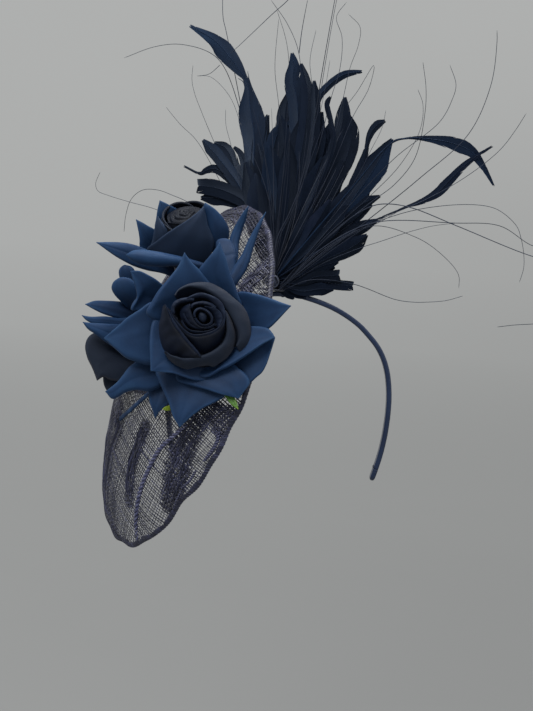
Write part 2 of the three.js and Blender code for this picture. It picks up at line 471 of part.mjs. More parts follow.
// side rose
rose('rose_c', new THREE.Vector3(-88, -24.7, -36.3), new THREE.Vector3(-0.87, -0.47, 0.15), [
  { name: 'bud', material: PETAL_DARK, profile: [[0, 11], [5, 12], [8, 17], [7, 24], [3, 29], [0, 30]], seg: 12 },
  { name: 'inner_petals', material: PETAL_DARK, hub: [7.6, 9.4, 5], petals: [
    [30, 3, 8.5, 17, 13, 17, 28, 14, 18], [150, 3, 8.5, 17, 13, 18, 27, 14, 18], [270, 3, 8.5, 17, 13, 17, 29, 14, 18]] },
  { name: 'outer_petals', material: PETAL_BLUE, hub: [4.4, 6.4, 6], petals: [
    [85, 5, 5.4, 26, 8, 40, 15, 16, 40], [150, 5, 5.4, 24, 7, 36, 14, 17, 40], [215, 5, 5.4, 24, 7, 34, 14, 17, 40],
    [280, 5, 5.4, 24, 7, 34, 14, 17, 40], [20, 5, 5.4, 22, 9, 30, 19, 16, 40]] },
  { name: 'calyx', material: LEAF, profile: [[0, 1.6], [3.2, 1.6], [3.8, 2.6], [3.0, 3.9], [0, 3.9]], seg: 10 },
], [domeCutter, takenA, takenB]);

export default root;
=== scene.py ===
# Fascinator headpiece: the detailed visual model, in metres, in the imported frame.
import bpy, math
import numpy as np
from mathutils import Vector, Matrix


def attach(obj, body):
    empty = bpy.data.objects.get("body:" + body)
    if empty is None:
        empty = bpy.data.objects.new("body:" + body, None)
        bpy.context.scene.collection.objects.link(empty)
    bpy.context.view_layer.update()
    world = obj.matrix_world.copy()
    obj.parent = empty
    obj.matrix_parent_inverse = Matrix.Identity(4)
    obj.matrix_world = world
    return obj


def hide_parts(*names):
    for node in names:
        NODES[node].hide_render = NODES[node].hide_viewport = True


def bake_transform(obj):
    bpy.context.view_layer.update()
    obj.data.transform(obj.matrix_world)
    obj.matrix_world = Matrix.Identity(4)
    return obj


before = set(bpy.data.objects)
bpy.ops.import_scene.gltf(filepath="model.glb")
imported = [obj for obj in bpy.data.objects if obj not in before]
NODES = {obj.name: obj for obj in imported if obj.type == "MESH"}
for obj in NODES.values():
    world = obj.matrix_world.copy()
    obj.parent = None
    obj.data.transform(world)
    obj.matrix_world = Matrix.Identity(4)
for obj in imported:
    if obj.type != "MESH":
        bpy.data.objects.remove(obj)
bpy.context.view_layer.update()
MM = 0.001
RNG = np.random.default_rng(20240611)

# ------------------------------------------------------------------ camera
EL = math.radians(4.0); ROLL = math.radians(4.0)
c_dir = Vector((0, math.cos(EL), -math.sin(EL)))
c_up0 = Vector((0, math.sin(EL), math.cos(EL)))
c_right = math.cos(ROLL) * Vector((1, 0, 0)) + math.sin(ROLL) * c_up0
c_up = -math.sin(ROLL) * Vector((1, 0, 0)) + math.cos(ROLL) * c_up0
cam_data = bpy.data.cameras.new("camera")
cam_data.lens = 71.79; cam_data.sensor_width = 36.0
cam_data.clip_start = 0.05; cam_data.clip_end = 20
cam = bpy.data.objects.new("camera", cam_data)
bpy.context.scene.collection.objects.link(cam)
m3 = Matrix((c_right, c_up, -c_dir)).transposed()
cam.matrix_world = Matrix.Translation(Vector((-0.010299, -0.950477, 0.026355))) @ m3.to_4x4()
bpy.context.scene.camera = cam

# ------------------------------------------------------------------ node helpers
def new_mat(name):
    m = bpy.data.materials.new(name); m.use_nodes = True
    nt = m.node_tree; nt.nodes.clear()
    out = nt.nodes.new("ShaderNodeOutputMaterial")
    b = nt.nodes.new("ShaderNodeBsdfPrincipled")
    nt.links.new(b.outputs[0], out.inputs[0])
    return m, nt, b

def N(nt, kind, **kw):
    n = nt.nodes.new(kind)
    for k, v in kw.items():
        setattr(n, k, v)
    return n

def coords(nt, scale=1.0, kind="Object"):
    t = N(nt, "ShaderNodeTexCoord"); mp = N(nt, "ShaderNodeMapping")
    mp.inputs["Scale"].default_value = (scale,) * 3 if not isinstance(scale, tuple) else scale
    nt.links.new(t.outputs[kind], mp.inputs[0]); return mp.outputs[0]

def noise(nt, vec, scale, detail=3.0, rough=0.55, dist=0.0):
    n = N(nt, "ShaderNodeTexNoise"); n.inputs["Scale"].default_value = scale
    n.inputs["Detail"].default_value = detail; n.inputs["Roughness"].default_value = rough
    n.inputs["Distortion"].default_value = dist
    nt.links.new(vec, n.inputs["Vector"]); return n.outputs["Fac"]

def wave(nt, vec, scale, dist=0.0, direction="X", detail=1.0, dscale=1.0):
    n = N(nt, "ShaderNodeTexWave"); n.bands_direction = direction
    n.inputs["Scale"].default_value = scale; n.inputs["Distortion"].default_value = dist
    n.inputs["Detail"].default_value = detail; n.inputs["Detail Scale"].default_value = dscale
    nt.links.new(vec, n.inputs["Vector"]); return n.outputs["Fac"]

def ramp(nt, fac, stops, interp="LINEAR"):
    r = N(nt, "ShaderNodeValToRGB"); r.color_ramp.interpolation = interp
    el = r.color_ramp.elements
    while len(el) < len(stops): el.new(0.5)
    for e, (p, c) in zip(el, stops):
        e.position = p; e.color = (*c, 1.0) if len(c) == 3 else c
    nt.links.new(fac, r.inputs[0]); return r.outputs[0]

def math_node(nt, op, a, b=None, clamp=False):
    n = N(nt, "ShaderNodeMath", operation=op); n.use_clamp = clamp
    for i, x in enumerate((a, b)):
        if x is None: continue
        if isinstance(x, (int, float)): n.inputs[i].default_value = x
        else: nt.links.new(x, n.inputs[i])
    return n.outputs[0]

def mix(nt, fac, a, b, blend="MIX"):
    n = N(nt, "ShaderNodeMix", data_type="RGBA", blend_type=blend)
    for s, x in (("Factor", fac),):
        if isinstance(x, (int, float)): n.inputs[0].default_value = x
        else: nt.links.new(x, n.inputs[0])
    for i, x in ((6, a), (7, b)):
        if isinstance(x, tuple): n.inputs[i].default_value = (*x, 1.0) if len(x) == 3 else x
        else: nt.links.new(x, n.inputs[i])
    return n.outputs[2]

def attr(nt, name):
    a = N(nt, "ShaderNodeAttribute"); a.attribute_name = name; return a.outputs["Fac"]

def bump(nt, bsdf, height, strength, dist):
    b = N(nt, "ShaderNodeBump"); b.inputs["Strength"].default_value = strength
    b.inputs["Distance"].default_value = dist
    nt.links.new(height, b.inputs["Height"]); nt.links.new(b.outputs[0], bsdf.inputs["Normal"])
    return b

# ------------------------------------------------------------------ materials
def silk(name, deep, mid, light, rough=0.62, sheen=0.25, tint=(0.35, 0.5, 0.8)):
    """Dyed silk petal: fine cross weave; the 'shade' attribute paints shade towards the base and highlights on the
    rolled edges and lips, the noise varies the dye at random.
    """
    m, nt, b = new_mat(name)
    v = coords(nt)
    sh = attr(nt, "shade")
    big = noise(nt, v, 55.0, 4.0, 0.6, 0.4)
    fine = noise(nt, v, 900.0, 2.0, 0.6)
    f = math_node(nt, "ADD", math_node(nt, "MULTIPLY", sh, 0.78), math_node(nt, "MULTIPLY", math_node(nt, "SUBTRACT", big, 0.5), 0.5))
    f = math_node(nt, "ADD", f, math_node(nt, "MULTIPLY", math_node(nt, "SUBTRACT", fine, 0.5), 0.12), clamp=True)
    col = ramp(nt, f, [(0.0, deep), (0.5, mid), (1.0, light)])
    nt.links.new(col, b.inputs["Base Color"])
    w1 = wave(nt, v, 700.0, 0.6, "X"); w2 = wave(nt, v, 700.0, 0.6, "Z")
    h = math_node(nt, "ADD", math_node(nt, "MULTIPLY", math_node(nt, "ADD", w1, w2), 0.25), math_node(nt, "MULTIPLY", noise(nt, v, 260.0, 3.0), 0.9))
    bump(nt, b, h, 0.35, 0.00022)
    nt.links.new(math_node(nt, "ADD", rough - 0.08, math_node(nt, "MULTIPLY", noise(nt, v, 130.0), 0.16)), b.inputs["Roughness"])
    b.inputs["Sheen Weight"].default_value = sheen
    b.inputs["Sheen Roughness"].default_value = 0.45
    b.inputs["Sheen Tint"].default_value = (*tint, 1)
    b.inputs["Specular IOR Level"].default_value = 0.24
    b.inputs["Specular Tint"].default_value = (0.88, 0.93, 1.0, 1)
    return m

SILK_BLUE = silk("silk_petal_blue", (0.0034, 0.0120, 0.038), (0.0108, 0.0375, 0.102), (0.031, 0.086, 0.188), 0.60, 0.06)
SILK_DARK = silk("silk_petal_dark", (0.0010, 0.0026, 0.009), (0.0042, 0.0100, 0.027), (0.016, 0.030, 0.062), 0.62, 0.06, (0.35, 0.4, 0.6))
SILK_CORE = silk("silk_petal_core", (0.0006, 0.0016, 0.0054), (0.0026, 0.0062, 0.0167), (0.0096, 0.0180, 0.0372), 0.62, 0.06, (0.35, 0.4, 0.6))
SILK_DEEP = silk("silk_petal_deep", (0.0022, 0.0062, 0.018), (0.0085, 0.0195, 0.047), (0.025, 0.047, 0.098), 0.62, 0.07, (0.35, 0.45, 0.6))
SILK_INNER = silk("silk_petal_inner", (0.0005, 0.0013, 0.0048), (0.0034, 0.0082, 0.0245), (0.018, 0.032, 0.068), 0.60, 0.06, (0.35, 0.4, 0.6))
SILK_GREY = silk("silk_petal_grey", (0.0022, 0.0058, 0.017), (0.0115, 0.0180, 0.034), (0.050, 0.050, 0.062), 0.7, 0.08, (0.5, 0.52, 0.6))

def sinamay(name, boost=1.0):
    """Stiffened abaca threads: fibre streaks; the 'tone' attribute adds a painted highlight on the raised parts of the
    threads.
    """
    m, nt, b = new_mat(name)
    v = coords(nt)
    tone = attr(nt, "tone")
    st = noise(nt, v, 420.0, 3.0, 0.65)
    f = math_node(nt, "ADD", math_node(nt, "MULTIPLY", tone, 0.75), math_node(nt, "MULTIPLY", math_node(nt, "SUBTRACT", st, 0.4), 0.5), clamp=True)
    k = boost
    col = ramp(nt, f, [(0.0, (0.0025 * k, 0.0038 * k, 0.014 * k)), (0.45, (0.0085 * k, 0.0112 * k, 0.038 * k)), (0.8, (0.050 * k, 0.056 * k, 0.130 * k)), (1.0, (0.24 * k, 0.245 * k, 0.36 * k))])
    nt.links.new(col, b.inputs["Base Color"])
    bump(nt, b, noise(nt, v, 1500.0, 2.0), 0.5, 0.0002)
    b.inputs["Roughness"].default_value = 0.42
    b.inputs["Specular IOR Level"].default_value = 0.5
    b.inputs["Sheen Weight"].default_value = 0.15
    return m
# one cloth in three brightnesses: a copy 0.8 times as bright for the under layer (painted shade beneath the outer
# layer) and a copy 1.15 times as bright for the cords and binding lying on top (painted light)
SINAMAY = sinamay("sinamay_thread")
SINAMAY_IN = sinamay("sinamay_thread_inner", 0.8)
SINAMAY_SLUB = sinamay("sinamay_slub", 1.15)

def satin_mat():
    m, nt, b = new_mat("satin_ribbon")
    v = coords(nt)
    rib = wave(nt, v, 900.0, 0.3, "Y")
    streak = noise(nt, coords(nt, (40.0, 900.0, 40.0)), 1.0, 3.0)
    col = ramp(nt, streak, [(0.25, (0.0042, 0.0120, 0.040)), (0.75, (0.0095, 0.0255, 0.074))])
    nt.links.new(col, b.inputs["Base Color"])
    bump(nt, b, math_node(nt, "ADD", math_node(nt, "MULTIPLY", rib, 0.4), streak), 0.25, 0.0001)
    nt.links.new(math_node(nt, "ADD", 0.27, math_node(nt, "MULTIPLY", streak, 0.14)), b.inputs["Roughness"])
    b.inputs["Sheen Weight"].default_value = 0.08
    b.inputs["Anisotropic"].default_value = 0.45
    return m
SATIN = satin_mat()

def feather_mat(name, dark, mid, light):
    """Dyed feather barbs: each barb its own tone, with one half of a blade painted paler than the other and a painted
    highlight towards the barb ends (painted light and shade carried in 'tone'); a cool gloss on the raised ones.
    """
    m, nt, b = new_mat(name)
    tone = attr(nt, "tone")
    v = coords(nt)
    st = noise(nt, v, 160.0, 3.0, 0.6)
    f = math_node(nt, "ADD", tone, math_node(nt, "MULTIPLY", math_node(nt, "SUBTRACT", st, 0.5), 0.35), clamp=True)
    col = ramp(nt, f, [(0.0, dark), (0.55, mid), (1.0, light)])
    nt.links.new(col, b.inputs["Base Color"])
    bump(nt, b, noise(nt, v, 1400.0, 2.0), 0.3, 0.00012)
    nt.links.new(math_node(nt, "ADD", 0.40, math_node(nt, "MULTIPLY", st, 0.22)), b.inputs["Roughness"])
    b.inputs["Sheen Weight"].default_value = 0.03
    b.inputs["Sheen Tint"].default_value = (0.55, 0.6, 0.85, 1)
    b.inputs["Specular IOR Level"].default_value = 0.24
    b.inputs["Specular Tint"].default_value = (0.55, 0.72, 1.0, 1)
    return m
FEATHER = feather_mat("feather_navy", (0.0004, 0.0016, 0.0066), (0.0028, 0.0066, 0.0195), (0.021, 0.026, 0.054))
FEATHER_BLUE = feather_mat("feather_blue", (0.0008, 0.003, 0.011), (0.0045, 0.0135, 0.037), (0.026, 0.060, 0.125))
SHAFT = feather_mat("feather_shaft", (0.008, 0.010, 0.018), (0.028, 0.030, 0.048), (0.09, 0.09, 0.12))
QUILL = feather_mat("quill_stripped", (0.010, 0.013, 0.022), (0.030, 0.036, 0.055), (0.085, 0.092, 0.115))

def leaf_mat():
    m, nt, b = new_mat("leaf_green")
    v = coords(nt); sh = attr(nt, "shade")
    nz = noise(nt, v, 220.0, 4.0)
    # sh carries painted shade towards the base and painted highlights on the rolled edges; the noise is the leaf's own
    # mottling
    f = math_node(nt, "ADD", math_node(nt, "MULTIPLY", sh, 0.7), math_node(nt, "MULTIPLY", nz, 0.4), clamp=True)
    nt.links.new(ramp(nt, f, [(0.0, (0.015, 0.055, 0.006)), (0.6, (0.055, 0.16, 0.014)), (1.0, (0.34, 0.46, 0.035))]), b.inputs["Base Color"])
    bump(nt, b, wave(nt, v, 300.0, 2.0, "X"), 0.3, 0.0002)
    b.inputs["Roughness"].default_value = 0.5
    return m
LEAF = leaf_mat()

def felt_mat(name, dark, light, rough=0.9):
    m, nt, b = new_mat(name)
    v = coords(nt)
    n1 = noise(nt, v, 700.0, 4.0, 0.7); n2 = noise(nt, v, 90.0, 3.0)
    nt.links.new(ramp(nt, math_node(nt, "MULTIPLY", math_node(nt, "ADD", n1, n2), 0.5), [(0.3, dark), (0.7, light)]), b.inputs["Base Color"])
    bump(nt, b, n1, 0.6, 0.0004)
    b.inputs["Roughness"].default_value = rough
    b.inputs["Sheen Weight"].default_value = 0.4
    return m
FELT = felt_mat("felt_navy", (0.004, 0.007, 0.02), (0.014, 0.022, 0.055))
THREAD = felt_mat("sewing_thread", (0.006, 0.011, 0.03), (0.02, 0.035, 0.085), 0.55)
CORE_M = felt_mat("band_core_resin", (0.012, 0.013, 0.018), (0.03, 0.032, 0.04), 0.5)

def wire_mat():
    m, nt, b = new_mat("millinery_wire")
    v = coords(nt)
    s = noise(nt, v, 500.0, 3.0)
    nt.links.new(ramp(nt, s, [(0.2, (0.03, 0.035, 0.06)), (0.8, (0.12, 0.125, 0.16))]), b.inputs["Base Color"])
    bump(nt, b, wave(nt, v, 900.0, 1.0, "Z"), 0.4, 0.0002)
    b.inputs["Roughness"].default_value = 0.45
    b.inputs["Metallic"].default_value = 0.3
    return m
WIRE = wire_mat()

# ------------------------------------------------------------------ mesh helpers
def make(name, verts, faces, mat, body="headpiece", attrs=None, smooth=True, nodes=(), slot=None, uv=None):
    me = bpy.data.meshes.new(name)
    V = np.asarray(verts, dtype=np.float64).reshape(-1, 3)
    if isinstance(faces, np.ndarray):
        k = faces.shape[1]; nf = len(faces)
        me.vertices.add(len(V)); me.vertices.foreach_set("co", V.ravel())
        me.loops.add(nf * k); me.loops.foreach_set("vertex_index", faces.ravel().astype(np.int32))
        me.polygons.add(nf)
        me.polygons.foreach_set("loop_start", np.arange(0, nf * k, k, dtype=np.int32))
        me.update(calc_edges=True)
    else:
        me.from_pydata([tuple(p) for p in V], [], [tuple(f) for f in faces])
    me.validate()
    if smooth: me.polygons.foreach_set("use_smooth", [True] * len(me.polygons))
    for k, a in (attrs or {}).items():
        at = me.attributes.new(k, "FLOAT", "POINT")
        at.data.foreach_set("value", np.asarray(a, dtype=np.float32))
    ob = bpy.data.objects.new(name, me)
    bpy.context.scene.collection.objects.link(ob)
    me.materials.append(mat)
    if body:
        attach(ob, body)
    if nodes:
        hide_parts(*nodes)
    return ob

class Bag:
    """Collects grids of quads into one mesh."""
    def __init__(self): self.v = []; self.f = []; self.a = {}; self.n = 0
    def grid(self, P, closed_u=False, **attrs):
        """P[i, j, 3]; quads between neighbours; closed_u joins the last j to the first."""
        P = np.asarray(P); ni, nj = P.shape[:2]
        idx = np.arange(ni * nj).reshape(ni, nj) + self.n
        if closed_u: idx = np.hstack([idx, idx[:, :1]])
        q = np.stack([idx[:-1, :-1], idx[:-1, 1:], idx[1:, 1:], idx[1:, :-1]], -1).reshape(-1, 4)
        self.v.append(P.reshape(-1, 3)); self.f.append(q); self.n += ni * nj
        for k, x in attrs.items():
            x = np.broadcast_to(np.asarray(x, dtype=float), (ni, nj)).reshape(-1)
            self.a.setdefault(k, []).append(x)
    def done(self, name, mat, **kw):
        a = {k: np.concatenate(x) for k, x in self.a.items()}
        return make(name, np.concatenate(self.v) * MM, np.concatenate(self.f), mat, attrs=a, **kw)

def catmull(P, n):
    """Centripetal Catmull-Rom through the rows of P, sampled at n points evenly in arc length."""
    P = np.asarray(P, float); k = len(P)
    if k == 2: 
        t = np.linspace(0, 1, n)[:, None]; return P[0] * (1 - t) + P[1] * t
    ext = np.vstack([2 * P[0] - P[1], P, 2 * P[-1] - P[-2]])
    out = []
    for i in range(k - 1):
        p0, p1, p2, p3 = ext[i:i + 4]
        def tj(ti, a, b): return ti + max(1e-6, np.linalg.norm((b - a)[:min(3, len(a))])) ** 0.5
        t0 = 0; t1 = tj(t0, p0, p1); t2 = tj(t1, p1, p2); t3 = tj(t2, p2, p3)
        t = np.linspace(t1, t2, 24, endpoint=(i == k - 2))[:, None]
        A1 = (t1 - t) / (t1 - t0) * p0 + (t - t0) / (t1 - t0) * p1
        A2 = (t2 - t) / (t2 - t1) * p1 + (t - t1) / (t2 - t1) * p2
        A3 = (t3 - t) / (t3 - t2) * p2 + (t - t2) / (t3 - t2) * p3
        B1 = (t2 - t) / (t2 - t0) * A1 + (t - t0) / (t2 - t0) * A2
        B2 = (t3 - t) / (t3 - t1) * A2 + (t - t1) / (t3 - t1) * A3
        out.append((t2 - t) / (t2 - t1) * B1 + (t - t1) / (t2 - t1) * B2)
    C = np.vstack(out)
    d = np.r_[0, np.cumsum(np.linalg.norm(np.diff(C[:, :3], axis=0), axis=1))]
    s = np.linspace(0, d[-1], n)
    return np.stack([np.interp(s, d, C[:, j]) for j in range(C.shape[1])], 1)

def frames(C):
    """Tangent, and two steady normals along a curve."""
    T = np.gradient(C, axis=0); T /= np.linalg.norm(T, axis=1)[:, None]
    n0 = np.cross(T[0], [0.0, 1.0, 0.0])
    if np.linalg.norm(n0) < 1e-3: n0 = np.cross(T[0], [1.0, 0, 0])
    n0 /= np.linalg.norm(n0)
    A = [n0]
    for i in range(1, len(C)):
        a = A[-1] - T[i] * (A[-1] @ T[i]); A.append(a / np.linalg.norm(a))
    A = np.array(A); return T, A, np.cross(T, A)

def tube(bag, C, r, sides=6, cap=True, **attrs):
    C = np.asarray(C, float); T, A, B = frames(C)
    r = np.broadcast_to(np.asarray(r, float), (len(C),)).copy()
    if cap: r[0] *= 0.3; r[-1] *= 0.3
    th = np.linspace(0, 2 * np.pi, sides, endpoint=False)
    P = C[:, None, :] + r[:, None, None] * (np.cos(th)[None, :, None] * A[:, None, :] + np.sin(th)[None, :, None] * B[:, None, :])
    bag.grid(P, closed_u=True, **{k: np.broadcast_to(np.asarray(x, float).reshape(-1, 1) if np.ndim(x) else x, (len(C), sides)) for k, x in attrs.items()})

def thicken(ob, t):
    s = ob.modifiers.new("cloth", "SOLIDIFY"); s.thickness = t; s.offset = 0.0

# ------------------------------------------------------------------ feather tables (mm)
# key: (depth index, [x, z, half width] from root to tip)
FEATHERS = {
    'F1': (8, [[-11.4,14.7,0.7],[-24.5,60.3,2.64],[-27.8,87.2,5.94],[-29.2,107.5,7.92],[-33.2,125.6,5.94],[-36.1,142.4,1.32],[-42.5,151.5,4.62],[-50.6,160.5,5.94],[-60.1,169.5,3.3],[-77.9,178.6,0.5]]),
    'F1b': (9, [[-11.0,14.8,0.7],[-24.4,77.4,3.3],[-24.2,104.6,3.96],[-20.7,121.9,0.5]]),
    'L1': (11, [[-12.0,14.5,0.7],[-24.7,43.4,1.98],[-36.3,71.3,2.97],[-45.3,83.0,2.97],[-52.8,91.4,2.97],[-58.0,96.5,2.64],[-63.9,102.3,0.5]]),
    'L3': (10, [[-11.7,14.6,0.7],[-23.6,46.9,1.98],[-32.8,80.3,1.98],[-35.5,90.3,1.65],[-37.9,95.0,1.32],[-42.3,98.8,0.5]]),
    'L4': (12, [[-12.2,14.4,0.7],[-27.7,46.7,1.32],[-39.0,71.2,1.98],[-47.9,80.2,1.98],[-55.0,83.5,1.98],[-60.4,81.8,1.32],[-64.0,79.5,0.66],[-75.8,83.9,0.5]]),
    'L5a': (7, [[-12.0,14.5,0.7],[-23.1,40.1,1.98],[-32.0,61.1,3.3],[-44.0,67.7,3.3],[-55.1,70.3,3.3],[-64.6,70.4,2.64]]),
    'C2': (5, [[-10.4,14.9,0.7],[-13.4,57.5,3.96],[-11.1,91.4,4.62],[-9.4,115.1,4.62],[-8.8,126.5,3.96],[-7.6,138.1,0.5]]),
    'C1': (2, [[-9.3,14.9,0.7],[-5.1,44.6,3.3],[-0.8,78.3,4.62],[0.2,111.8,5.28],[-1.9,131.6,5.28],[-5.5,144.6,4.62],[-5.5,153.9,2.97],[-7.4,162.4,0.5]]),
    'C3': (1, [[-9.1,14.8,0.7],[-3.8,44.6,2.64],[2.1,85.1,3.3],[5.0,118.6,3.3],[4.7,137.1,2.64],[2.4,146.2,1.98],[-0.9,155.5,0.5]]),
    'C5': (4, [[-8.7,14.7,0.7],[4.9,65.5,0.66],[11.0,112.9,0.66],[12.8,135.2,1.85],[17.0,141.5,1.85],[22.7,147.3,1.85],[29.1,151.7,1.65],[40.4,154.4,0.5]]),
    'C7': (0, [[-7.7,14.4,0.7],[6.4,42.0,2.64],[18.7,76.2,3.3],[25.7,99.9,3.63],[29.1,116.7,3.63],[29.7,126.7,2.64],[29.8,135.2,0.5]]),
    'C8': (-1, [[-7.1,14.0,0.7],[5.8,31.9,2.64],[18.5,59.5,3.3],[30.0,85.5,3.96],[34.9,100.4,3.96],[35.9,113.7,2.97],[33.2,123.4,0.5]]),
    'C9': (3, [[-8.3,14.6,0.7],[2.9,45.1,2.64],[12.0,79.3,3.3],[17.7,103.2,3.3],[21.3,117.5,0.5]]),
    'R1': (-2, [[-6.1,13.1,0.7],[4.5,21.8,1.98],[19.8,40.9,2.64],[31.9,59.0,3.3],[39.4,74.1,3.3],[44.3,89.0,2.64],[46.0,101.0,0.99],[47.9,111.0,1.98],[52.0,117.8,1.98],[57.1,120.8,0.5]]),
    'R2': (-4, [[-6.0,12.8,0.7],[1.4,18.2,2.64],[16.8,36.0,3.96],[32.0,54.9,5.28],[42.6,72.8,6.6],[50.8,86.5,7.92],[58.2,101.5,3.3],[62.3,108.9,0.5]]),
    'R4': (-3, [[-5.7,12.4,0.7],[4.7,18.4,2.64],[20.4,32.9,3.3],[36.2,44.0,3.3],[47.1,50.0,2.97],[57.3,55.4,0.5]]),
    'R5': (-6, [[-5.1,11.0,0.7],[5.0,13.2,2.64],[19.6,24.2,3.3],[33.6,31.8,3.96],[43.1,37.8,3.96],[50.5,44.9,0.5]]),
    'R6': (-7, [[-5.0,9.8,0.7],[8.6,9.4,2.64],[18.2,14.8,2.97],[28.1,16.1,2.64],[34.0,17.2,2.64]]),
    'R7': (-5, [[-5.1,9.0,0.7],[12.3,5.6,2.64],[25.2,11.2,2.97],[35.2,10.6,2.51],[43.6,10.5,2.31]]),
    'M2': (-8, [[-7.0,13.9,0.7],[3.9,28.4,3.96],[15.6,49.0,3.96],[24.3,66.0,0.5]]),
    'M4': (6, [[-8.6,14.7,0.7],[-5.7,24.4,3.96],[0.7,48.4,4.62],[4.5,72.3,0.5]]),
    'A14': (-9, [[-7.0,13.9,0.7],[36.8,73.3,0.66],[61.5,105.6,0.66],[70.3,108.8,0.66],[85.8,109.4,2.64],[102.1,107.2,5.28],[113.4,102.8,3.3],[122.0,93.1,1.65],[129.7,81.3,0.5]]),
    'A15': (-10, [[-6.0,12.9,0.7],[35.7,43.8,0.66],[72.9,64.2,0.66],[82.6,68.4,1.98],[93.0,74.9,3.3],[100.6,83.8,2.64],[109.3,94.0,1.98],[118.2,101.6,0.99],[125.9,107.2,0.5]]),
    'L2': (11.5, [[-11.8,14.6,0.7],[-23.5,44.9,1.98],[-35.1,73.5,2.64],[-41.5,86.0,2.64],[-44.7,93.4,2.64],[-49.2,98.6,2.31],[-55.9,101.2,0.5]]),
    'L5b': (8.5, [[-12.2,14.4,0.7],[-22.8,36.7,1.98],[-31.8,57.8,2.64],[-42.4,62.5,2.64],[-53.3,63.1,2.64],[-62.1,62.5,0.5]]),
    'C4': (0.5, [[-8.4,14.7,0.7],[2.6,48.4,2.64],[9.1,88.9,2.64],[11.2,115.6,2.31],[10.2,134.0,1.98],[8.5,144.5,0.5]]),
    'C6': (-4.5, [[-8.1,14.5,0.7],[5.9,48.5,0.66],[19.7,85.7,0.66],[23.8,105.9,1.32],[22.0,114.2,1.32],[20.2,120.7,1.32],[18.6,125.4,1.32],[17.9,129.6,0.99],[19.7,133.4,0.5]]),
    'C10': (4.5, [[-10.8,14.8,0.7],[-17.0,50.5,3.96],[-16.7,84.2,4.62],[-13.6,107.9,3.96],[-9.2,112.9,2.64],[-3.5,118.0,0.5]]),
    'M1': (-6.5, [[-7.7,14.4,0.7],[6.3,41.8,3.96],[12.9,60.1,0.5]]),
    'M3': (-7.5, [[-6.3,13.3,0.7],[10.5,28.9,3.3],[25.7,47.8,3.96],[36.3,63.6,0.5]]),
    'R8': (-8.5, [[-5.2,8.6,0.7],[8.9,4.8,2.64],[22.0,7.1,3.3],[30.6,7.4,0.5]]),
    'X1': (5.5, [[-9.3,14.9,0.7],[-4.7,48.1,4.62],[-0.3,82.1,5.94],[2.1,105.8,4.62],[4.1,126.2,0.5]]),
    'X2': (2.5, [[-8.5,14.7,0.7],[2.0,48.4,3.96],[9.0,82.4,5.28],[14.0,106.2,3.96],[15.4,124.9,0.5]]),
    'X3': (0.2, [[-8.2,14.5,0.7],[1.3,38.3,3.96],[11.5,65.7,5.28],[18.0,86.1,4.62],[23.7,99.8,0.5]]),
    'X4': (-1.5, [[-7.4,14.2,0.7],[5.6,35.2,3.96],[17.2,59.3,5.28],[27.0,79.9,4.62],[32.0,93.5,0.5]]),
    'X5': (-2.6, [[-6.7,13.7,0.7],[12.2,35.7,3.96],[26.7,56.6,5.28],[37.6,70.6,4.62],[44.6,84.3,0.5]]),
    'X6': (-3.4, [[-6.4,13.4,0.7],[16.8,36.0,3.96],[32.4,50.3,4.62],[43.8,58.4,3.3],[52.6,65.0,0.5]]),
    'X7': (-4.6, [[-6.5,13.4,0.7],[18.6,38.7,3.96],[35.2,55.8,4.62],[47.0,65.8,3.3],[57.2,71.1,0.5]]),
    'X8': (6.5, [[-11.2,14.8,0.7],[-15.8,33.8,3.96],[-19.1,60.6,5.28],[-21.8,80.7,4.62],[-23.0,97.5,0.5]]),
    'X9': (7.5, [[-11.9,14.5,0.7],[-18.3,30.3,3.3],[-22.7,53.6,4.62],[-27.5,73.6,3.96],[-30.7,90.3,0.5]]),
    'X10': (9.5, [[-11.9,14.5,0.7],[-18.3,30.3,3.3],[-24.1,53.6,3.96],[-29.8,77.0,3.3],[-34.0,97.2,0.5]]),
    'X11': (-5.5, [[-5.4,11.9,0.7],[6.8,17.3,3.3],[20.6,28.9,4.62],[33.2,37.1,3.3],[43.4,42.4,0.5]]),
    'X12': (3.5, [[-10.5,14.9,0.7],[-12.2,30.7,3.96],[-9.8,54.3,5.28],[-7.5,78.0,4.62],[-6.2,98.2,0.5]]),
    'X13': (-6.2, [[-5.2,11.3,0.7],[10.8,16.2,3.3],[22.3,22.4,3.3],[32.7,25.8,0.5]]),
    'X14': (-5.2, [[-5.8,12.6,0.7],[10.4,22.9,3.3],[25.3,36.5,3.96],[39.2,46.1,2.97],[49.3,53.4,0.5]]),
}
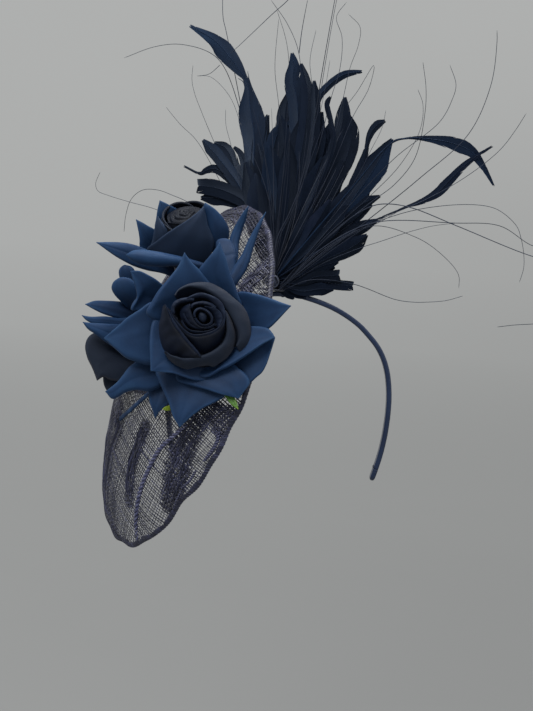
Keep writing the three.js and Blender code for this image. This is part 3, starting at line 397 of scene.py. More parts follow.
# (radius, [x, y, z] points)
WISPS = [
    (0.32, [[-15.3,15.7,6.7],[-25.4,25.6,70.9],[-40.3,35.5,125.2],[-58.8,42.3,160.4],[-83.1,45.1,168.3],[-102.5,46.3,165.7],[-123.6,47.1,156.6]]),
    (0.35, [[-14,14.5,6.8],[-29.1,26.2,84.3],[-44.5,36.4,145.6],[-53.8,42.1,179.2],[-56.6,43.7,188.8],[-58.6,48.1,216.1]]),
    (0.28, [[-7.6,35.9,209.2],[-12.6,35,201.9],[-22.8,31.2,190.8],[-44.1,25.5,166.9],[-50.4,24.6,160.4]]),
    (0.3, [[-11.1,7.8,5.1],[-1.8,11.6,65.1],[0.7,16.2,126.1],[-2.6,18.9,163.7],[-11.4,20.4,182.7],[-24,21.6,198.7]]),
    (0.25, [[-12.6,6.8,6.4],[-9,10.3,71.3],[-7.6,13.3,118.5],[-8.8,15.6,155.5],[-12,16.6,172.1],[-19.5,17.9,191.7]]),
    (0.25, [[-12.5,5.8,5.7],[-11.7,8.7,71],[-13.3,11.3,123.3],[-18.1,12.7,152.4],[-17.9,14.4,185.4]]),
    (0.3, [[-2.7,7.6,162.1],[-1.8,8,178.1],[0.5,8.5,198.1]]),
    (0.35, [[-9.8,-8.5,5.5],[-8.7,-11.8,38.1],[-2.6,-14,53.6],[3.1,-16.4,70.6],[6.6,-19,89.2],[8.4,-21.7,108.6],[10.6,-23.6,122.1],[11.6,-25.3,134.8],[12.3,-26.5,143],[17.3,-33.2,191.8],[19.4,-35.4,207.8]]),
    (0.28, [[-9.1,-8.9,5.6],[-7.4,-12.3,38.2],[-1.3,-14.6,53.7],[4.4,-17.2,70.6],[7.9,-19.9,89.3],[9.7,-22.6,108.6],[11.9,-24.5,122.1],[12.9,-26.3,134.7],[13.5,-27.5,143],[18.5,-34.5,191.6],[20.9,-36.3,204]]),
    (0.28, [[-9.1,3,5.3],[3.1,3.4,51.8],[14.4,4.1,99.3],[20.6,4.5,133.8],[25.2,4.8,154.4],[25,5,174.8],[20.4,5.2,187.7],[26.4,5.3,198]]),
    (0.26, [[-8.4,0.5,4.8],[5.9,-0.3,48.6],[22.3,-1.3,99.4],[28.4,-2,133.6],[31.5,-2.4,153.9],[36,-2.8,169.8],[36.1,-3,180.9],[27.8,-3.1,188.8]]),
    (0.26, [[-7.7,0.1,4.8],[9.2,-0.9,48.8],[26,-2.1,93],[36.1,-2.9,122.9],[44.9,-3.4,141.6],[47.1,-3.7,156.7],[37.2,-3.2,138.5],[31.1,-3,129.5]]),
    (0.3, [[-5.8,-6.3,5.8],[26,-10.8,42.5],[50.5,-14.4,65.8],[65.8,-16.6,79.2],[77.3,-18.7,96.8],[81.3,-21.3,125.9],[80.6,-22.7,141.8],[77.2,-23.9,158.1]]),
    (0.26, [[-6.5,-5.3,5.7],[24.7,-9.3,43.7],[50.3,-12.8,70.4],[68.2,-15.4,91.8],[79.3,-17.7,115.1],[79.8,-18.9,131.5],[75.6,-19.4,141.2]]),
    (0.3, [[-5.2,-7.2,6.5],[37.5,-15.1,63.5],[64.2,-20,95.8],[91.1,-24.4,120.8],[97.6,-26.1,134.9],[99.3,-27.1,144.5],[94.3,-27.9,156.8]]),
    (0.32, [[-5.2,-9.7,5.9],[41.8,-18.4,47.4],[80.8,-26.3,83.6],[109.1,-32.5,113.3],[120.3,-36.9,144.8],[121.5,-40,171.5],[120.8,-40.8,178.8]]),
    (0.3, [[-5.1,-10.4,5.2],[51.2,-21,51.3],[87.5,-27.5,71.1],[111.3,-32,87.3],[129.5,-35.9,104.3],[137.7,-38.1,116.7],[143.8,-39.9,128.4]]),
    (0.35, [[-5.1,-10.9,4.6],[31.8,-19,49.3],[51.7,-23,63.6],[62.5,-24.6,65.6],[77.1,-26.4,64],[106.7,-30,54.3],[156,-37.1,38],[173,-39.7,35.7],[181,-41,27],[183.5,-42.5,13],[179,-44,1.5],[170,-45.3,-2.8],[158.4,-43.2,-5],[147.3,-41.2,-6.5],[136.2,-39.1,-8.7]]),
    (0.33, [[-5,-12,4],[19.9,-17.2,32.8],[52.5,-23.8,52.6],[104.6,-32.2,56],[133.3,-36.9,56],[154.9,-40.1,44.7],[169.1,-42.5,44.4]]),
    (0.28, [[-5,-10.2,3.9],[20.1,-14.6,31.5],[52.9,-20.4,50.7],[80.8,-23.8,45.5],[94.2,-25.5,38.6],[107.6,-27.1,27.2],[110.9,-27.5,21.6],[111.3,-27.5,14.4]]),
    (0.28, [[-5.1,-11.4,4.6],[32.4,-18.9,40.2],[69.7,-26,59.6],[102,-31.4,67.4],[123.3,-34.7,68.2],[132.6,-36,65.6],[143.8,-37.3,56.7],[147.2,-37.5,49.3],[149.8,-37.6,39.2],[150.5,-37.5,30.2],[148.6,-37,20.8]]),
    (0.28, [[-3.7,-8.6,4],[14.9,-10.7,12.6],[43.3,-14.5,12],[71.4,-18.2,3.9],[82.5,-19.6,3],[93.4,-21,3.8],[104.3,-22.5,5.6],[114.9,-23.8,9.4]]),
    (0.24, [[-16.6,11,5.3],[-43.2,14.2,25.1],[-68.4,17.7,43.8],[-93.1,20.6,53],[-110.6,22.6,56.6],[-126.8,24.4,60.4],[-133.2,25.2,62.7],[-135.2,25.6,67.3],[-132.7,25.8,75.7]]),
    (0.26, [[-16.6,13,5.3],[-44.2,18,38.7],[-70.4,22.6,58.8],[-82.4,24.3,63.4],[-92.3,25.6,66.2],[-102.7,26.8,65.6],[-109.9,27.2,59.6],[-113.3,27.1,48.4],[-113.9,26.6,36]]),
    (0.24, [[-15.3,15.2,6],[-28.4,19.5,36.4],[-48.9,26.4,72.7],[-68.3,32.3,101.8],[-80.9,35,112.8],[-91.5,37.5,124]]),
    (0.24, [[-15.3,14.2,6],[-39.7,23.5,69.8],[-58.4,29.8,105.7],[-66.1,32.5,121.1],[-72.3,34.8,134.6],[-74.7,36.2,143.4],[-74.8,37.6,153.8]]),
    (0.22, [[-55.9,31.1,154.3],[-63,30.5,147.6],[-71.1,30.7,145.7]]),
    (0.22, [[-14.6,12.1,6.1],[-28.5,20.4,77.2],[-41.9,26.5,122.2],[-49,28.4,134.8],[-59.3,30,144.4],[-64.3,30.4,146.2],[-71.1,30.7,145.7]]),
    (0.22, [[-15.3,10.2,6.1],[-32.9,15.6,63.1],[-45.2,20,102.4],[-48.7,21.1,113.1],[-49.7,22.2,123.9]]),
    (0.26, [[-3.7,-9.5,4.7],[20.7,-13.2,23],[44.1,-16.9,35.1],[59.9,-19.4,41.5],[76.8,-22,48.5],[91.8,-24.3,53.4],[107,-26.4,56.3]]),
    (0.25, [[-4.4,-7.2,4.6],[20.2,-10.6,31.5],[39,-13.2,44.7],[52.7,-15.1,53.5],[62.8,-16.3,58.1]]),
    (0.24, [[-5.1,-4.4,5.1],[36.1,-8.4,41.9],[58.3,-10.5,54],[73.5,-12,64.5]]),
    (0.25, [[-11.1,5.4,5.1],[-0.9,7,51.6],[6.5,9.1,99.1],[7.7,10.9,139.4],[5,11.7,159.2],[7.6,12.6,179.4]]),
    (0.22, [[-7.1,-0.9,4.9],[18.3,-2.3,42.7],[38.5,-3.8,76.6],[49.2,-4.8,101],[55.3,-5.4,115.9],[57,-5.8,127.8]]),
    (0.22, [[-9.8,2.6,5.3],[2.8,2.9,55.1],[11.3,3.3,105.6],[14.9,3.5,129.7],[16.6,3.6,143.1],[18.1,3.7,159]])
]

# ------------------------------------------------------------------ petal tables (mm)
# leaf: group, one edge and the other from the hub to the tip, crown at base and tip, rolls, crease, waviness, tone
LEAVES = {
    'a_p1': ('am', [[-54.9,-82.0,-16.9],[-68.9,-90.0,-18.7],[-80.1,-96.0,-17.4],[-83.9,-98.0,-13.3],[-81.7,-98.5,-7.5],[-78.5,-98.0,-0.3],[-72.5,-97.0,8.3],[-67.2,-96.0,16.3],[-63.9,-95.0,24.9]],
        [[-49.1,-82.0,-10.3],[-45.2,-88.0,-1.3],[-45.2,-91.0,4.9],[-48.7,-92.5,9.2],[-54.1,-94.0,15.1],[-59.2,-94.8,19.6],[-63.9,-95.0,24.9]], (-3.5, 0.6), 3.6, 1.0, 0.25, 0.3, 0.02),
    'a_p2': ('am', [[-47.7,-84.0,-12.6],[-49.5,-89.0,-0.3],[-53.4,-91.0,9.2],[-54.9,-92.5,14.9],[-52.1,-93.5,19.3],[-47.8,-94.5,25.1],[-43.1,-94.0,32.5]],
        [[-39.0,-84.0,-13.2],[-27.6,-89.0,-8.5],[-27.3,-90.5,-4.2],[-29.5,-91.5,-0.1],[-32.8,-92.5,7.6],[-35.9,-93.3,15.0],[-38.6,-94.0,22.9],[-43.1,-94.0,32.5]], (-3.0, 1.2), 2.0, 1.6, 0.2, 0.3, 0.03),
    'a_p6': ('am', [[-57.4,-84.0,-14.5],[-69.4,-90.0,-11.4],[-77.5,-94.0,-13.0],[-80.3,-96.0,-18.0],[-80.9,-98.0,-24.8],[-80.7,-99.5,-31.6],[-79.9,-100.5,-39.5],[-79.1,-101.0,-47.2]],
        [[-51.7,-84.0,-26.4],[-46.8,-91.0,-39.1],[-42.5,-94.0,-47.1],[-45.2,-95.5,-50.7],[-51.8,-97.0,-51.2],[-57.9,-98.4,-49.8],[-64.9,-99.8,-47.8],[-71.7,-100.6,-47.4],[-79.1,-101.0,-47.2]], (-3.5, 0.8), 1.4, 1.2, 0.2, 0.3, 0.03),
    'a_p4a': ('am', [[-42.3,-86.0,-18.2],[-28.7,-92.0,-18.2],[-20.3,-97.0,-16.2],[-14.2,-100.5,-16.0],[-9.9,-103.0,-17.1],[-6.2,-105.0,-21.5]],
        [[-48.9,-86.0,-29.7],[-52.0,-92.0,-43.0],[-49.5,-96.0,-48.9],[-45.2,-98.0,-48.6],[-39.4,-100.0,-44.5],[-32.0,-101.7,-40.0],[-22.1,-103.3,-32.9],[-14.3,-104.5,-26.8],[-6.2,-105.0,-21.5]], (-3.0, 0.6), 0.8, 1.3, 0.15, 0.35, 0.06),
    'a_p3': ('ao', [[-44.5,-80.0,-7.6],[-37.3,-84.0,-2.1],[-30.3,-88.0,3.4],[-19.9,-95.0,3.1],[-10.8,-100.5,1.3],[-3.8,-104.5,-0.6],[2.1,-107.0,-2.1]],
        [[-42.5,-80.0,-18.6],[-29.7,-86.0,-23.5],[-19.8,-92.0,-23.7],[-14.0,-97.0,-20.0],[-9.6,-100.5,-16.1],[-4.7,-104.0,-10.4],[2.1,-107.0,-2.1]], (-2.0, 1.0), 1.1, 1.1, 0.25, 0.4, 0.0),
    'a_p4b': ('ao', [[-41.1,-80.0,-20.9],[-23.6,-92.5,-21.5],[-14.1,-95.5,-18.2],[-8.6,-97.5,-18.9],[-6.0,-99.0,-22.3]],
        [[-47.8,-80.0,-32.5],[-36.5,-91.5,-46.8],[-27.3,-97.0,-54.6],[-20.8,-99.0,-51.5],[-16.0,-99.7,-46.8],[-12.6,-99.7,-43.6],[-10.1,-99.6,-38.6],[-8.3,-99.5,-32.1],[-7.2,-99.4,-27.2],[-6.0,-99.0,-22.3]], (-2.0, 1.0), 0.8, 0.9, 0.1, 0.9, 0.0),
    'a_p4c': ('ao', [[-43.2,-80.0,-27.2],[-30.9,-94.0,-38.9],[-21.1,-100.5,-46.2],[-19.3,-101.5,-50.3],[-22.0,-101.5,-55.0],[-25.1,-101.0,-60.1]],
        [[-54.2,-78.0,-30.6],[-63.8,-87.0,-44.2],[-64.2,-91.5,-51.9],[-60.9,-93.5,-53.2],[-54.0,-95.5,-54.6],[-44.7,-98.0,-56.4],[-35.4,-100.2,-58.4],[-25.1,-101.0,-60.1]], (-1.5, 0.8), 1.0, 1.2, 0.2, 0.4, 0.02),
    'a_p5': ('ao', [[-57.0,-74.0,-28.6],[-70.4,-82.0,-42.6],[-77.4,-86.0,-48.3],[-75.8,-87.5,-52.4],[-71.7,-90.0,-59.9],[-67.5,-92.0,-67.3],[-64.3,-93.5,-74.9],[-59.9,-94.0,-80.9]],
        [[-48.1,-74.0,-31.7],[-35.5,-86.0,-46.0],[-30.4,-95.0,-54.7],[-33.9,-96.0,-59.8],[-40.0,-96.0,-64.1],[-45.9,-95.8,-67.5],[-52.3,-95.2,-72.7],[-59.9,-94.0,-80.9]], (-1.5, 1.2), 1.1, 1.2, 0.3, 0.3, 0.0),
    'a_p10': ('ao', [[-60.9,-66.0,-33.1],[-72.3,-70.0,-46.1],[-81.3,-74.0,-56.4],[-81.7,-75.5,-63.2],[-80.8,-76.0,-68.7],[-78.4,-75.5,-74.2],[-76.6,-74.5,-78.8]],
        [[-54.4,-66.0,-36.4],[-60.6,-71.0,-51.5],[-65.8,-76.0,-62.7],[-68.7,-77.5,-68.3],[-72.1,-77.5,-71.8],[-74.3,-76.5,-74.4],[-76.6,-74.5,-78.8]], (-1.5, 1.0), 0.9, 0.8, 0.2, 0.3, -0.03),
    'a_p7': ('ao', [[-58.9,-76.0,-17.4],[-73.8,-82.0,-9.6],[-82.2,-86.0,-6.4],[-89.2,-87.0,-11.3],[-96.7,-86.5,-16.9],[-100.6,-86.0,-21.1],[-105.3,-85.0,-25.6],[-110.3,-84.0,-30.6]],
        [[-57.0,-76.0,-27.2],[-70.6,-82.0,-38.9],[-80.3,-86.0,-45.5],[-88.9,-87.0,-44.1],[-96.3,-87.0,-41.8],[-102.9,-86.2,-37.0],[-106.9,-85.0,-33.9],[-110.3,-84.0,-30.6]], (-2.0, 1.0), 1.0, 4.2, 0.25, 0.3, 0.06),
    'a_p8': ('ao', [[-58.7,-70.0,-25.2],[-76.1,-76.0,-37.2],[-90.2,-80.0,-44.1],[-94.8,-80.5,-48.1],[-97.5,-80.5,-52.4],[-100.6,-79.5,-56.7],[-104.2,-78.0,-60.4],[-108.3,-76.0,-64.1]],
        [[-56.8,-70.0,-35.0],[-67.9,-76.0,-49.1],[-74.5,-79.0,-59.2],[-81.6,-80.5,-61.9],[-89.0,-80.5,-61.8],[-95.8,-79.5,-63.9],[-100.7,-78.3,-67.2],[-104.1,-77.0,-68.6],[-108.3,-76.0,-64.1]], (-1.0, 2.0), 1.6, 3.2, 0.2, 0.3, 0.05),
    'a_p9': ('ao', [[-64.3,-70.0,-15.6],[-77.7,-76.0,-13.2],[-88.5,-80.0,-13.1],[-94.5,-82.0,-13.2],[-91.6,-84.0,-5.8],[-92.6,-85.0,0.8],[-94.8,-86.0,6.8],[-96.4,-86.5,11.5]],
        [[-62.3,-70.0,-8.0],[-68.5,-77.0,-0.7],[-75.9,-81.0,3.8],[-81.5,-84.0,7.7],[-86.4,-85.5,10.1],[-91.3,-86.3,11.9],[-96.4,-86.5,11.5]], (-3.0, -1.0), 2.2, 1.0, 0.1, 0.3, 0.02),
    'b_front': ('bb', [[-70.1,-30.0,13.5],[-82.8,-38.0,19.1],[-91.4,-41.0,24.7],[-84.6,-45.5,31.1],[-77.7,-48.5,37.0],[-71.9,-49.0,41.4],[-65.8,-48.0,45.9],[-60.4,-45.5,50.9],[-56.6,-42.0,55.4]],
        [[-59.8,-30.0,14.2],[-52.6,-38.0,19.3],[-49.3,-40.5,27.9],[-49.1,-41.5,34.2],[-51.2,-42.0,39.2],[-53.3,-42.3,43.7],[-55.0,-42.3,49.8],[-56.6,-42.0,55.4]], (5.0, 3.0), 0.5, 0.9, 0.0, 0.2, 0.1),
    'b_side': ('bb', [[-86.2,-30.0,21.4],[-89.8,-36.0,25.0],[-88.4,-39.0,31.5],[-87.4,-40.5,39.3],[-85.8,-41.0,46.8]],
        [[-73.3,-30.0,22.3],[-73.2,-38.0,30.0],[-77.8,-42.0,37.5],[-81.9,-42.4,42.2],[-85.8,-41.0,46.8]], (4.0, 1.5), 0.6, 0.5, 0.0, 0.2, 0.18),
    'b_1': ('bi', [[-55.2,-34.0,26.2],[-54.4,-38.0,37.8],[-56.0,-40.5,49.1],[-57.1,-42.0,54.1],[-56.1,-42.5,57.4]],
        [[-41.1,-34.0,28.5],[-39.6,-37.0,38.8],[-40.7,-38.8,43.3],[-44.0,-40.5,48.3],[-48.7,-42.0,53.0],[-52.9,-42.8,55.7],[-56.1,-42.5,57.4]], (2.5, 1.5), 0.7, 1.0, 0.0, 0.3, 0.05),
    'b_2': ('bi', [[-48.9,-50.0,20.2],[-46.9,-50.0,28.0],[-46.5,-50.0,34.0],[-41.6,-51.0,35.7],[-36.0,-53.0,33.7],[-33.1,-57.0,24.6]],
        [[-47.4,-61.0,5.3],[-41.8,-63.0,6.4],[-37.3,-62.5,10.5],[-34.5,-61.0,16.9],[-33.1,-57.0,24.6]], (2.5, 1.0), 0.8, 1.0, 0.6, 0.5, 0.0),
    'b_7': ('bi', [[-52.9,-44.0,18.7],[-68.7,-50.0,22.4],[-78.2,-52.5,23.9],[-87.0,-54.0,24.8],[-94.0,-54.5,25.0],[-99.5,-54.3,23.8],[-103.1,-53.5,21.0]],
        [[-52.6,-44.0,14.8],[-69.8,-50.0,16.2],[-78.9,-52.5,15.0],[-87.7,-54.0,14.9],[-93.9,-54.5,15.6],[-99.8,-54.3,17.8],[-103.1,-53.5,21.0]], (3.6, 3.0), 2.4, 2.4, 0.0, 0.2, 0.1),
    'b_3': ('bo', [[-39.7,-54.0,18.4],[-39.2,-52.0,28.5],[-39.0,-51.0,36.7],[-36.8,-51.5,42.6],[-33.8,-53.5,48.6],[-31.0,-56.0,53.2],[-28.1,-58.0,56.6]],
        [[-32.0,-58.5,17.7],[-32.8,-55.5,27.0],[-32.8,-53.0,33.8],[-31.3,-52.5,41.0],[-29.7,-54.5,47.4],[-28.7,-56.5,52.4],[-28.1,-58.0,56.6]], (1.8, 0.8), 2.2, 1.4, 0.0, 0.15, 0.06),
    'b_4': ('bo', [[-40.9,-66.0,4.6],[-36.8,-65.5,13.0],[-33.6,-64.5,20.4],[-29.9,-63.5,27.4],[-27.3,-63.0,34.3],[-24.5,-63.0,40.4],[-20.9,-63.0,47.2],[-16.9,-63.0,53.7]],
        [[-35.1,-67.0,2.6],[-30.9,-66.5,9.4],[-27.1,-65.5,16.0],[-24.9,-64.5,22.0],[-23.7,-63.5,28.0],[-22.3,-63.0,34.4],[-19.9,-63.0,43.5],[-16.9,-63.0,53.7]], (1.6, 0.8), 2.4, 1.6, 0.0, 0.15, 0.06),
    'b_5': ('bo', [[-77.6,-20.0,37.7],[-85.0,-25.0,37.1],[-88.1,-27.0,39.2],[-87.7,-28.5,45.3],[-87.2,-29.2,51.4],[-86.1,-29.5,57.3]],
        [[-67.3,-20.0,41.1],[-70.1,-25.0,48.6],[-74.1,-27.5,52.1],[-77.9,-29.0,54.0],[-82.3,-29.5,55.9],[-86.1,-29.5,57.3]], (-1.0, 0.5), 1.0, 0.8, 0.2, 0.2, 0.05),
    'b_6u': ('bo', [[-81.4,-24.0,20.5],[-90.1,-30.0,21.2],[-96.4,-33.5,26.2],[-96.9,-34.8,31.0],[-97.7,-35.7,35.4],[-98.9,-36.1,39.8],[-100.0,-36.0,43.9]],
        [[-73.1,-24.0,32.8],[-79.3,-30.0,34.9],[-84.3,-33.0,35.8],[-88.2,-34.8,38.5],[-92.1,-35.8,40.3],[-96.0,-36.2,42.3],[-100.0,-36.0,43.9]], (-1.0, 0.6), 1.0, 0.8, 0.2, 0.2, 0.02),
    'b_6': ('bo', [[-75.8,-28.0,18.3],[-84.6,-35.0,22.8],[-91.5,-39.0,25.2],[-97.1,-41.0,27.1],[-102.6,-42.3,28.2],[-107.9,-43.0,28.6],[-115.6,-43.0,28.3],[-123.8,-42.0,27.5]],
        [[-72.5,-28.0,8.1],[-81.3,-34.0,10.8],[-90.1,-38.0,11.8],[-98.8,-41.5,14.0],[-105.3,-43.0,16.8],[-111.5,-43.7,19.9],[-117.9,-43.0,23.7],[-123.8,-42.0,27.5]], (1.0, 1.6), 1.0, 1.6, 0.3, 0.3, 0.04),
    'c_l1': ('co', [[-97.1,-30.0,-11.8],[-103.5,-36.0,-3.0],[-108.0,-40.0,6.4],[-108.4,-41.0,10.7],[-106.9,-41.3,13.2],[-104.7,-41.0,14.0]],
        [[-92.2,-30.0,-7.5],[-93.2,-38.0,0.4],[-96.6,-41.0,7.9],[-99.1,-42.0,12.2],[-101.7,-41.8,14.0],[-104.7,-41.0,14.0]], (2.5, 2.0), 1.2, 1.2, 0.0, 0.3, -0.05),
    'c_l2': ('co', [[-97.7,-34.0,-16.9],[-105.0,-42.0,-10.0],[-110.1,-46.0,-4.8],[-111.9,-47.3,-0.9],[-110.9,-48.0,2.9],[-108.2,-48.5,5.4],[-105.1,-48.5,6.6]],
        [[-92.5,-34.0,-16.5],[-93.6,-42.0,-8.6],[-95.1,-47.5,-2.1],[-96.5,-49.3,2.6],[-100.1,-49.6,6.0],[-105.1,-48.5,6.6]], (3.0, 2.5), 1.6, 1.4, 0.0, 0.4, 0.03),
    'c_s1': ('co', [[-96.8,-34.0,-10.3],[-105.8,-40.0,-9.1],[-115.0,-46.0,-9.0],[-122.0,-50.0,-9.6],[-127.2,-52.0,-12.0]],
        [[-94.8,-34.0,-21.9],[-104.3,-42.0,-20.2],[-110.4,-47.0,-18.7],[-116.8,-50.0,-16.7],[-122.5,-51.5,-14.3],[-127.2,-52.0,-12.0]], (1.5, 0.8), 0.9, 1.0, 0.0, 0.2, -0.05),
    'c_s2': ('co', [[-94.6,-38.0,-17.8],[-104.7,-44.0,-19.5],[-114.1,-49.0,-18.9],[-123.0,-52.0,-19.6],[-128.6,-54.0,-19.1]],
        [[-92.9,-38.0,-25.4],[-102.6,-44.0,-25.2],[-112.3,-49.0,-24.6],[-120.9,-52.0,-23.9],[-125.4,-53.4,-22.0],[-128.6,-54.0,-19.1]], (1.2, 0.6), 1.2, 1.2, 0.2, 0.2, 0.0),
    'c_s3': ('co', [[-92.7,-42.0,-22.6],[-104.2,-48.0,-23.2],[-113.8,-53.0,-23.3],[-121.7,-56.0,-23.2],[-127.2,-58.0,-23.1]],
        [[-90.2,-42.0,-41.8],[-99.9,-48.0,-40.8],[-107.9,-52.5,-37.2],[-114.0,-55.5,-33.1],[-119.0,-57.0,-29.7],[-123.5,-57.8,-27.1],[-127.2,-58.0,-23.1]], (2.0, 1.0), 1.0, 2.0, 0.2, 0.3, 0.05),
    'c_d1': ('ci', [[-99.9,-38.0,-36.3],[-111.4,-42.0,-32.3],[-120.7,-46.0,-29.9],[-124.6,-48.0,-33.2],[-125.9,-49.3,-38.7],[-124.3,-50.2,-44.9],[-121.0,-51.0,-51.0],[-116.8,-51.5,-59.9]],
        [[-95.3,-38.0,-47.6],[-96.9,-44.0,-54.4],[-101.3,-48.0,-59.2],[-107.5,-50.0,-59.1],[-112.5,-51.2,-57.2],[-116.8,-51.5,-59.9]], (3.0, 2.0), 1.1, 0.8, 0.0, 0.6, 0.12),
    'c_d2': ('ci', [[-99.9,-34.0,-43.0],[-110.9,-38.0,-47.4],[-114.0,-42.0,-55.8],[-113.2,-44.0,-62.6],[-110.2,-45.0,-67.8]],
        [[-94.3,-34.0,-50.5],[-96.4,-40.0,-59.2],[-101.9,-44.0,-66.4],[-110.2,-45.0,-67.8]], (2.5, 1.5), 1.0, 0.8, 0.0, 0.5, 0.0),
}
